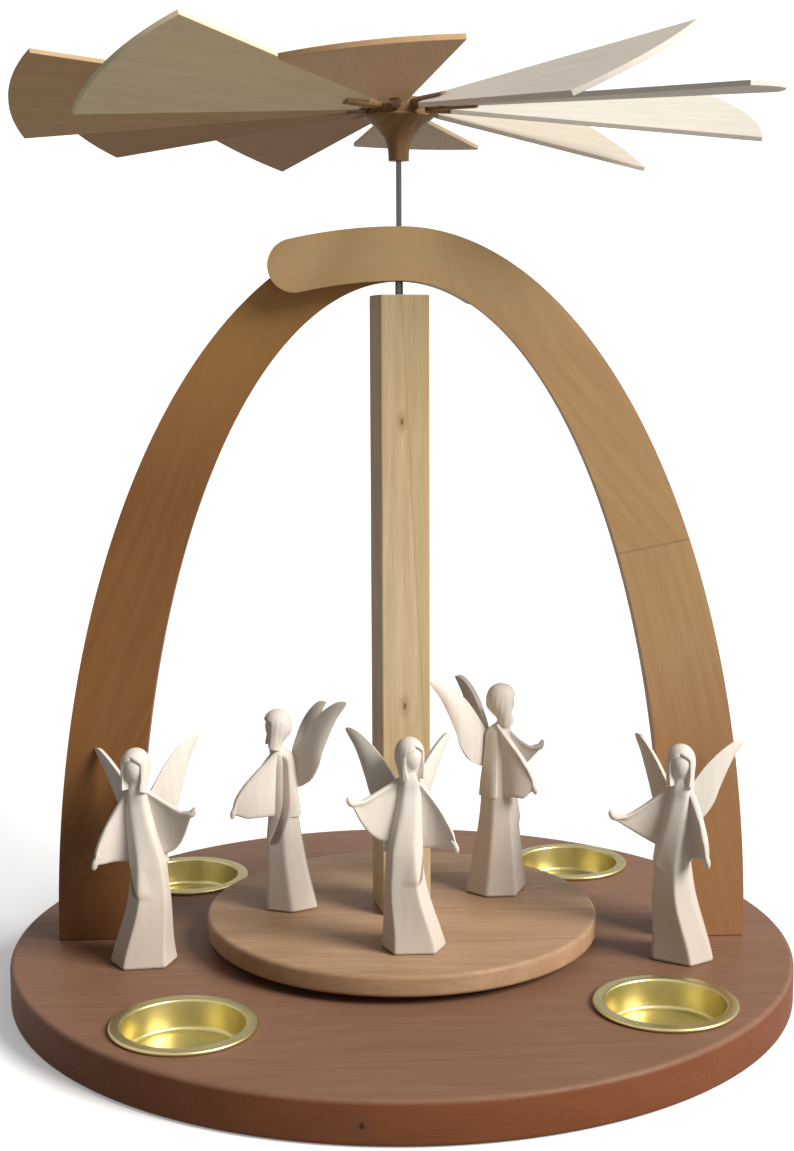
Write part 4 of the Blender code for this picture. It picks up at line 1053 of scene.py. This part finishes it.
def robe_sizes(height):
    """Half width, depth in front and depth behind of the robe at a height."""
    if height < CAPE_HEM:
        low, high, share = WAIST, HEM, (1 - height / CAPE_HEM) ** 1.5
    elif height < SHOULDER_HEIGHT:
        low, high = WAIST, SHOULDER
        share = (height - CAPE_HEM) / (SHOULDER_HEIGHT - CAPE_HEM)
    else:
        low, high = SHOULDER, COLLAR
        share = min(1.0, (height - SHOULDER_HEIGHT) / (COLLAR_HEIGHT - SHOULDER_HEIGHT)) ** 1.6
    return [mix(first, second, share) for first, second in zip(low, high)]


def axis(angel, height):
    """How far the middle of the figure is from upright at a height, to its left and forwards."""
    bend = smooth(height, COLLAR_HEIGHT, 0.0342) * mix(0.25, 1.0, smooth(height, 0.0, 0.026))
    lean = height / FIGURE_HEIGHT
    return angel.lean[0] * lean + angel.sway * bend, angel.lean[1] * lean


def robe_facets(height):
    """The flat sides at a height: the direction of each from the front, and how far out it lies."""
    width, front, back = robe_sizes(height)
    flank = (width, (front - back) / 2)
    facets = [(0.0, front), (pi, back)]
    for corner in ((FRONT_SHARE * width, front), (FRONT_SHARE * width, -back)):
        edge = Vector(flank) - Vector(corner)
        normal = Vector((abs(edge.y), copysign(edge.x, corner[1]))).normalized()
        turn = atan2(normal.x, normal.y)
        facets += [(turn, normal.dot(Vector(flank))), (-turn, normal.dot(Vector(flank)))]
    return facets


def robe_radius(turn, height):
    """How far the robe reaches in a direction: flat sides with edges that soften upwards."""
    crisp = mix(46.0, 7.0, smooth(height, 0.0, 0.052))
    total = 0.0
    for facet, distance in robe_facets(height):
        towards = cos(turn - facet)
        if towards > 0.0:
            total += (towards / distance) ** crisp
    return total ** (-1 / crisp)


def flap_edge(height, flap):
    """The direction of the front flap's free edge, which slides round to the corner at its point."""
    width, front, _ = robe_sizes(height)
    corner = atan2(FRONT_SHARE * width, front)
    return mix(corner, radians(86.0), smooth(height, *flap) ** 0.6)


def robe_ring(height, angel):
    """Points that follow the flap's crisp edge, each with how much painted shade it gets in the fold
    beside the edge.
    """
    side = angel.flap_side
    turned = radians(angel.skirt_turn) * mix(1.0, 1.5, smooth(height, 0.0, 0.024))
    turned *= smooth(height, 0.062, 0.026)
    edge = flap_edge(height, angel.flap)
    point = angel.flap[0]
    shown = smooth(height, point, point + 0.0032) * smooth(height, 0.0615, 0.0555)
    cape = CAPE_RISE * smooth(height, 0.058, 0.038) if height >= CAPE_HEM else 0.0
    turns = [mix(ROBE_START, edge, step / FLAP_STEPS) for step in range(FLAP_STEPS + 1)]
    turns += [mix(edge + 0.02, tau + ROBE_START, step / ROBE_STEPS)
              for step in range(ROBE_STEPS)]
    ring = []
    for index, turn in enumerate(turns):
        radius = robe_radius(turn, height)
        fold = 0.0
        if index <= FLAP_STEPS:
            radius += FLAP_RISE * shown * smooth(turn, edge - 1.0, edge)
        else:
            radius -= FLAP_HOLLOW * shown * smooth(turn, edge + 0.9, edge)
            radius += cape * smooth(turn, edge + 0.5, edge + 1.0) * smooth(turn, tau - 0.7, tau - 1.3)
            # How much painted shade the fold beside the flap's edge gets, for the lime finish.
            fold = shown * smooth(turn, edge + FOLD_SHADE_TURN, edge)
        direction = side * turn + turned
        ring.append((radius * sin(direction), radius * cos(direction), fold))
    if side < 0:
        ring.reverse()
    aside, ahead = axis(angel, height)
    near_chin = smooth(height, *CHIN)
    ahead += CHIN_FORWARD * near_chin
    return [((x + aside, -y - ahead, height + COLLAR_PEAK * near_chin * smooth(y, 0.0, 0.0026)), fold)
            for x, y, fold in ring]


def robe_mesh(angel):
    point = angel.flap[0]
    heights = {0.0, 0.0006, CAPE_HEM - ROW_GAP, CAPE_HEM, point - ROW_GAP, point + 0.001}
    heights |= {(COLLAR_HEIGHT + COLLAR_RISE) * row / ROBE_ROWS for row in range(ROBE_ROWS + 1)}
    chosen = []
    for height in sorted(heights):
        if not chosen or height - chosen[-1] > 0.5 * ROW_GAP:
            chosen.append(height)
    rings = [robe_ring(height, angel) for height in chosen]
    rings[0] = [((x * 0.95, y * 0.95, z), fold) for (x, y, z), fold in rings[0]]
    mesh = skin(f"robe_{angel.name}", [[point for point, _ in ring] for ring in rings])
    # Each point carries the painted shade of the fold as an attribute.
    fold_shades = mesh.attributes.new("fold", "FLOAT", "POINT")
    fold_shades.data.foreach_set("value", [fold for ring in rings for _, fold in ring])
    return mesh


class Sleeve:
    """One arm in its sleeve: a ridge from the shoulder to the hand, and what hangs from it."""

    def __init__(self, angel, hand, side):
        self.angel, self.hand, self.side = angel, hand, side
        self.root = Vector(SLEEVE_ROOT)
        self.tip = Vector((hand.side, hand.forward)) - self.root
        self.across = Vector((-self.tip.y, self.tip.x)).normalized()
        self.raised = hand.pose == RAISED

    def top(self, out):
        hand_height = self.hand.height
        drop = SLEEVE_TOP - hand_height
        if self.raised:
            cuff = CUFF_RISE * smooth(out, 0.75, 1.0)
            return hand_height + drop * max(0.0, 1 - out / 0.82) ** 1.3 + cuff
        return hand_height + drop * (1 - asin(min(1.0, out)) / (pi / 2)) ** 1.1

    def bottom(self, out):
        if self.raised:
            low = self.hand.height - RAISED_WRIST
            return low - (low - RAISED_HEM) * (1 - min(1.0, out) ** self.hand.fall)
        wrist = self.hand.height - LOWERED_WRIST
        return CAPE_SCALLOP * sin(pi * out) + mix(CAPE_HEM, wrist, smooth(3.4 * out, 2.4, 3.4))

    def point(self, out, drop, thick):
        """A place on the cloth: out along the arm, down from its ridge, off its middle plane."""
        top, bottom = self.top(out), min(self.bottom(out), self.top(out) - LEAST_DRAPE)
        bow = DRAPE_BOW * sin(pi * min(1.0, out)) * (0.35 + 0.65 * drop)
        spot = self.root + self.tip * out + self.across * (thick - bow)
        return self.placed(spot, mix(top, bottom, drop), out)

    def placed(self, spot, height, out):
        """The sleeve follows the robe's bend where it leaves it, and less towards the hand."""
        aside, ahead = axis(self.angel, height)
        aside -= (aside - self.angel.lean[0] * height / FIGURE_HEIGHT) * min(1.0, out)
        return (self.side * spot.x + aside, -spot.y - ahead, height)

    def thickness(self, out, drop):
        """Half as thick as the arm near its ridge, and thin below."""
        tall = max(self.top(out) - self.bottom(out), LEAST_DRAPE)
        deep = drop * tall
        arm = sqrt(max(0.0, 1 - (deep / ARM_RADIUS - 1) ** 2))
        arm = ARM_RADIUS * (arm if deep > ARM_RADIUS else max(arm, 0.05))
        arm *= mix(1.0, HAND_FLATNESS, smooth(out, 0.86, 1.0))
        rim = min(1.0, sqrt(max(0.0, (1 - drop) * tall / (0.6 * DRAPE_THICKNESS))))
        sheet = DRAPE_THICKNESS / 2 * rim if deep > 0.0006 else 0.0
        return max(arm * smooth(1.15 - deep / (2.6 * ARM_RADIUS)), sheet, 0.00003)

    def mesh(self, name):
        drops = [(1 - cos(pi * row / SLEEVE_ROWS)) / 2 for row in range(SLEEVE_ROWS + 1)]
        drops = [*TIGHT_DROPS, *(drop for drop in drops if drop > 0.15)]
        rings = []
        for step in range(SLEEVE_STEPS + 1):
            out = mix(0.02, 1.0, step / SLEEVE_STEPS)
            front = [self.point(out, drop, -self.thickness(out, drop)) for drop in drops]
            back = [self.point(out, drop, self.thickness(out, drop)) for drop in reversed(drops)]
            rings.append(front + back)
        return skin(name, rings)

    def hand_mesh(self, name):
        """A mitten past the sleeve: the raised one turns up, the lowered one points down."""
        way, path = self.tip.normalized(), HAND_PATHS[self.hand.pose]
        wrist = self.root + self.tip
        rings = []
        for step in range(HAND_STEPS + 1):
            share = step / HAND_STEPS
            run, rise, width = along_curve(path, share)
            ahead = (along_curve(path, min(1.0, share + 0.02))
                     - along_curve(path, max(0.0, share - 0.02)))
            level = Vector((-ahead.y, ahead.x)).normalized() * width
            flat = mix(1.0, HAND_FLATNESS, smooth(share, 0.35, 0.75))
            ring = []
            for spoke in range(HAND_SIDES):
                turn = tau * spoke / HAND_SIDES
                off = (self.across * (flat * width * cos(turn))
                       + way * (level.x * sin(turn)))
                height = self.hand.height - 0.0006 + rise + level.y * sin(turn)
                ring.append(self.placed(wrist + way * run + off, height, 1.0))
            rings.append(ring)
        return skin(name, rings)


def hair_radius(share):
    """The hair's width at a share of the head's height: it flares to the shoulders."""
    if share > 0.55:
        return sqrt(max(0.0, 1 - ((share - 0.55) / 0.45) ** 2.2))
    return 1.0 + 0.05 * smooth(share, 0.5, 0.0)


def hair_opening(share, side):
    """How far round from the front the hair's edge is, which frames the face on each side."""
    top = 0.83 if side > 0 else 0.76
    if share > top:
        return radians(1.0)
    rise = smooth(share, top, top - 0.22) ** 0.62
    spread = mix(47.0, 39.0, smooth(share, 0.35, 0.0))
    return radians(mix(1.0, spread, rise))


def hair_ring(share):
    height = share * HEAD_TALL
    outer = hair_radius(share)
    left, right = hair_opening(share, 1), hair_opening(share, -1)
    shut = left < radians(1.5) and right < radians(1.5)
    low = smooth(share, 0.5, 0.0)
    inner = outer * (1.0 if shut else mix(0.76, 0.45, low))
    ring = [(mix(-right, left, step / OPENING_STEPS), inner)
            for step in range(OPENING_STEPS + 1)]
    for step in range(HAIR_STEPS + 1):
        turn = mix(left, tau - right, step / HAIR_STEPS)
        wave = cos(HAIR_STRANDS * turn + 5.0 * (1 - share))
        strand = wave * 0.012 * smooth(share, 1.0, 0.6)
        rolled = 1.0 - 0.05 * smooth(min(turn - left, tau - right - turn), 0.22, 0.0)
        ring.append((turn, outer * (1 + strand) * (1.0 if shut else rolled)))
    placed = []
    for turn, radius in ring:
        behind = smooth(0.5 - 0.75 * cos(turn))
        x = sin(turn) * HEAD_WIDTH * radius * (1 - 0.50 * low * behind)
        y = -cos(turn) * HEAD_DEPTH * radius * (1 - 0.72 * low ** 1.5 * behind)
        z = height + low * (HAIR_LIFT - HAIR_SLANT * sin(turn) ** 2)
        placed.append((x, y - HEAD_FORWARD, z))
    return placed


def head_mesh():
    """Hair from the crown to the shoulders, and inside its opening a plain egg of a face."""
    shares = [mix(0.0, 0.96, row / HAIR_ROWS) for row in range(HAIR_ROWS + 1)]
    hair = skin("hair", [*(hair_ring(share) for share in (*shares, 0.98, 0.992, 0.998)),
                         [(0.0, -HEAD_FORWARD, HEAD_TALL)]])
    rings = []
    for row in range(1, FACE_ROWS):
        turn = pi * row / FACE_ROWS
        height = (FACE_MIDDLE - FACE_HALF_HEIGHT * cos(turn)) * HEAD_TALL
        chin = mix(0.62, 1.0, smooth(row, 0, 13))
        width = FACE_WIDTH * chin * sin(turn)
        depth = FACE_DEPTH * mix(0.9, 1.0, chin) * sin(turn)
        angles = [tau * spoke / FACE_SIDES for spoke in range(FACE_SIDES)]
        rings.append([(width * sin(angle), 0.0002 - HEAD_FORWARD - depth * cos(angle),
                       height) for angle in angles])
    poles = [[(0.0, -HEAD_FORWARD, (FACE_MIDDLE - FACE_HALF_HEIGHT * end) * HEAD_TALL)]
             for end in (1, -1)]
    face = skin("face", [poles[0], *rings, poles[1]])
    bm = bmesh.new()
    bm.from_mesh(hair)
    bm.from_mesh(face)
    mesh = bpy.data.meshes.new("head")
    bm.to_mesh(mesh)
    bm.free()
    return mesh


def wing_mesh(side):
    """A leaf that leaves the back, rises and spreads outwards; side is 1 for its left."""
    outwards = Vector((side * sin(WING_SPREAD), cos(WING_SPREAD), 0.0))
    across = Vector((-outwards.y, outwards.x, 0.0)) * side
    seat = GAP + WING_THICKNESS / 2
    rows = []
    for share in WING_SHARES:
        lower, upper = along_curve(WING_LOWER, share), along_curve(WING_UPPER, share)
        middle = (lower + upper) / 2
        end = max(0.0, share - WING_BLUNT) / (1.0 - WING_BLUNT)
        blunt = max(sqrt(1.0 - end ** 2), WING_TIP_SHARE)
        row = []
        for column in range(WING_COLUMNS + 1):
            place = column / WING_COLUMNS
            reach, rise = middle + (mix(lower, upper, place) - middle) * blunt
            up = rise * WING_RISE
            back = robe_sizes(min(WING_ROOT_HEIGHT + up, SHOULDER_HEIGHT - 0.0001))[2]
            back = mix(back, robe_sizes(WING_ROOT_HEIGHT)[2], 1 - (1 - share) ** 2)
            root = Vector((side * WING_ROOT_OFFSET, back + seat - 0.0006, up))
            bow = WING_BOW * sin(pi * share) * (1 - (2 * place - 1) ** 2 / 2)
            row.append(root + outwards * reach * WING_REACH - across * bow)
        rows.append(row)
    leaf = linked("wing", skin("wing", rows, closed_rings=False, caps=False))
    shell = leaf.modifiers.new("thickness", "SOLIDIFY")
    shell.thickness = WING_THICKNESS
    shell.offset = 0.0
    return used_up(leaf)


def make_angels(finish):
    head = head_mesh()
    wings = {"left": wing_mesh(1), "right": wing_mesh(-1)}
    for angel in ANGELS:
        low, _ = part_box(f"angel_{angel.name}_robe")
        figure = (Matrix.Translation((angel.x, angel.y, low.z))
                  @ Matrix.Rotation(radians(angel.heading + 90), 4, "Z")
                  @ Matrix.Scale(angel.height / FIGURE_HEIGHT, 4))

        def carved(part, mesh, place, sharp, *nodes):
            piece = add_piece(part, moved(mesh, place), finish, sharp)
            carry(piece, angel.body, "lime_wood", *nodes)
            return piece

        def leaning(height, roll, yaw):
            aside, ahead = axis(angel, height)
            return (figure @ Matrix.Translation((aside, -ahead, height))
                    @ Matrix.Rotation(radians(yaw), 4, "Z")
                    @ Matrix.Rotation(radians(roll), 4, "Y"))

        carved(f"robe_{angel.name}", robe_mesh(angel), figure, 42, f"angel_{angel.name}_robe")
        for side, hand, name in ((1, angel.left, "left"), (-1, angel.right, "right")):
            sleeve = Sleeve(angel, hand, side)
            name = f"{angel.name}_{name}"
            carved(f"sleeve_{name}", sleeve.mesh("sleeve"), figure, 60)
            carved(f"hand_{name}", sleeve.hand_mesh("hand"), figure, 60)
        place = leaning(COLLAR_HEIGHT + GAP, 0.0, angel.head_turn)
        carved(f"head_{angel.name}", head, place, 38, f"angel_{angel.name}_head")
        place = (leaning(WING_ROOT_HEIGHT, angel.wing_roll, angel.wing_turn)
                 @ Matrix.Scale(angel.wing_size, 4))
        for side, mesh in wings.items():
            wing = carved(f"wing_{angel.name}_{side}", mesh, place, 50,
                          f"angel_{angel.name}_wing_{side}")
            soften(wing, 0.0006, 3, 50)


# Floor, light and camera

def background_rays(nodes):
    """1 for the rays from the camera, and 1 for all that see the background as it is."""
    path = nodes.node("ShaderNodeLightPath")
    camera, glossy, through = (Value(nodes, path.outputs[f"Is {kind} Ray"])
                               for kind in ("Camera", "Glossy", "Transmission"))
    return camera, camera.larger(glossy).larger(through)


def make_floor():
    """A pale floor that curves up into a backdrop."""
    bend = BACKDROP_BEND
    profile = [(BACKDROP_FRONT, 0.0), (bend, 0.0), *arc((bend, bend), bend, -84, 0, 14),
               (2 * bend, BACKDROP_TOP)]
    rows = [[(side * BACKDROP_HALF_WIDTH, y, z - FLOOR_DROP) for side in (-1, 1)]
            for y, z in profile]
    finish = Finish("pale_backdrop", 0.9)
    from_camera, seen = background_rays(finish)
    finish.set("Base Color", finish.blend(from_camera, (FLOOR_BOUNCE,) * 3, FLOOR_COLOUR))
    glow = finish.value("ShaderNodeEmission", ((1.0, 1.0, 1.0, 1.0), FLOOR_GLOW))
    shader = finish.shader.outputs[0]
    both = finish.value("ShaderNodeAddShader", (shader, glow))
    shown = finish.value("ShaderNodeMixShader", (seen, shader, both))
    finish.feed(finish.tree.nodes["Material Output"].inputs["Surface"], shown)
    floor = linked("floor", skin("floor", rows, closed_rings=False, caps=False))
    floor.data.shade_smooth()
    floor.data.materials.append(finish.material)


def make_light():
    """A dim sky that is brighter from the right, and a soft sun."""
    world = bpy.data.worlds.new("studio")
    bpy.context.scene.world = world
    world.use_nodes = True
    nodes = Nodes(world.node_tree)
    _, seen = background_rays(nodes)
    background = world.node_tree.nodes["Background"]
    background.inputs["Color"].default_value = (1.0, 1.0, 1.0, 1.0)
    to_right, _, _ = nodes.parts_of(nodes.value("ShaderNodeTexCoord", (), "Generated"))
    sky = to_right.rise(-0.8, 0.8, SKY_DARK, SKY_BRIGHT)
    nodes.feed(background.inputs["Strength"], seen + (1.0 - seen) * sky)
    sun = bpy.data.lights.new("key_light", "SUN")
    sun.energy = SUN_LEVEL
    sun.angle = SUN_SIZE
    sun.color = SUN_COLOUR
    linked("key_light", sun).rotation_euler = (pi / 2 - SUN_HEIGHT, 0.0, SUN_AZIMUTH)


def make_camera():
    """The camera that took the photograph, fitted to the board's and the cups' ellipses."""
    camera = linked("camera", bpy.data.cameras.new("camera"))
    camera.data.sensor_width = CAMERA_SENSOR
    camera.data.lens = CAMERA_LENS
    camera.data.clip_start = 0.01
    camera.matrix_world = (Matrix.Translation(CAMERA_PLACE)
                           @ Matrix.Rotation(-CAMERA_YAW, 4, "Z")
                           @ Matrix.Rotation(pi / 2 - CAMERA_DOWN, 4, "X")
                           @ Matrix.Rotation(CAMERA_ROLL, 4, "Z"))
    bpy.context.scene.camera = camera


def dress_node(name, finish):
    materials = frame["nodes"][name].data.materials
    materials.clear()
    materials.append(finish.material)


def main():
    bpy.context.scene.view_settings.view_transform = "Standard"
    make_camera()
    make_light()
    make_floor()
    steel = steel_finish("dark_steel", (0.16, 0.155, 0.15), 0.32)
    brass = brass_finish("turned_brass", (0.80, 0.62, 0.30), 0.28)
    hub_wood = Wood("hub_wood", (0.320, 0.185, 0.082), (0.200, 0.108, 0.046), axes_along_z,
                    ring=0.0040, contrast=0.7, roughness=0.45).done()
    table_wood = Wood("turntable_wood", (0.450, 0.295, 0.178), (0.328, 0.192, 0.105),
                      axes_along_x, ring=0.011, contrast=0.6, roughness=0.48).done()
    make_base(board_finish())
    make_cups(brass_finish("cup_brass", (0.610, 0.535, 0.255), 0.36))
    make_screws(steel)
    make_arch(front_arm_finish(), rear_arm_finish(), brass)
    make_turntable(table_wood)
    make_shaft(steel)
    stem_z = make_hub(hub_wood)
    make_paddles(hub_wood, stem_z)
    make_angels(lime_finish())
    dress_node("post", post_finish())
    dress_node("pivot_pin", steel)
    dress_node("pivot_bearing", glass_finish())


main()
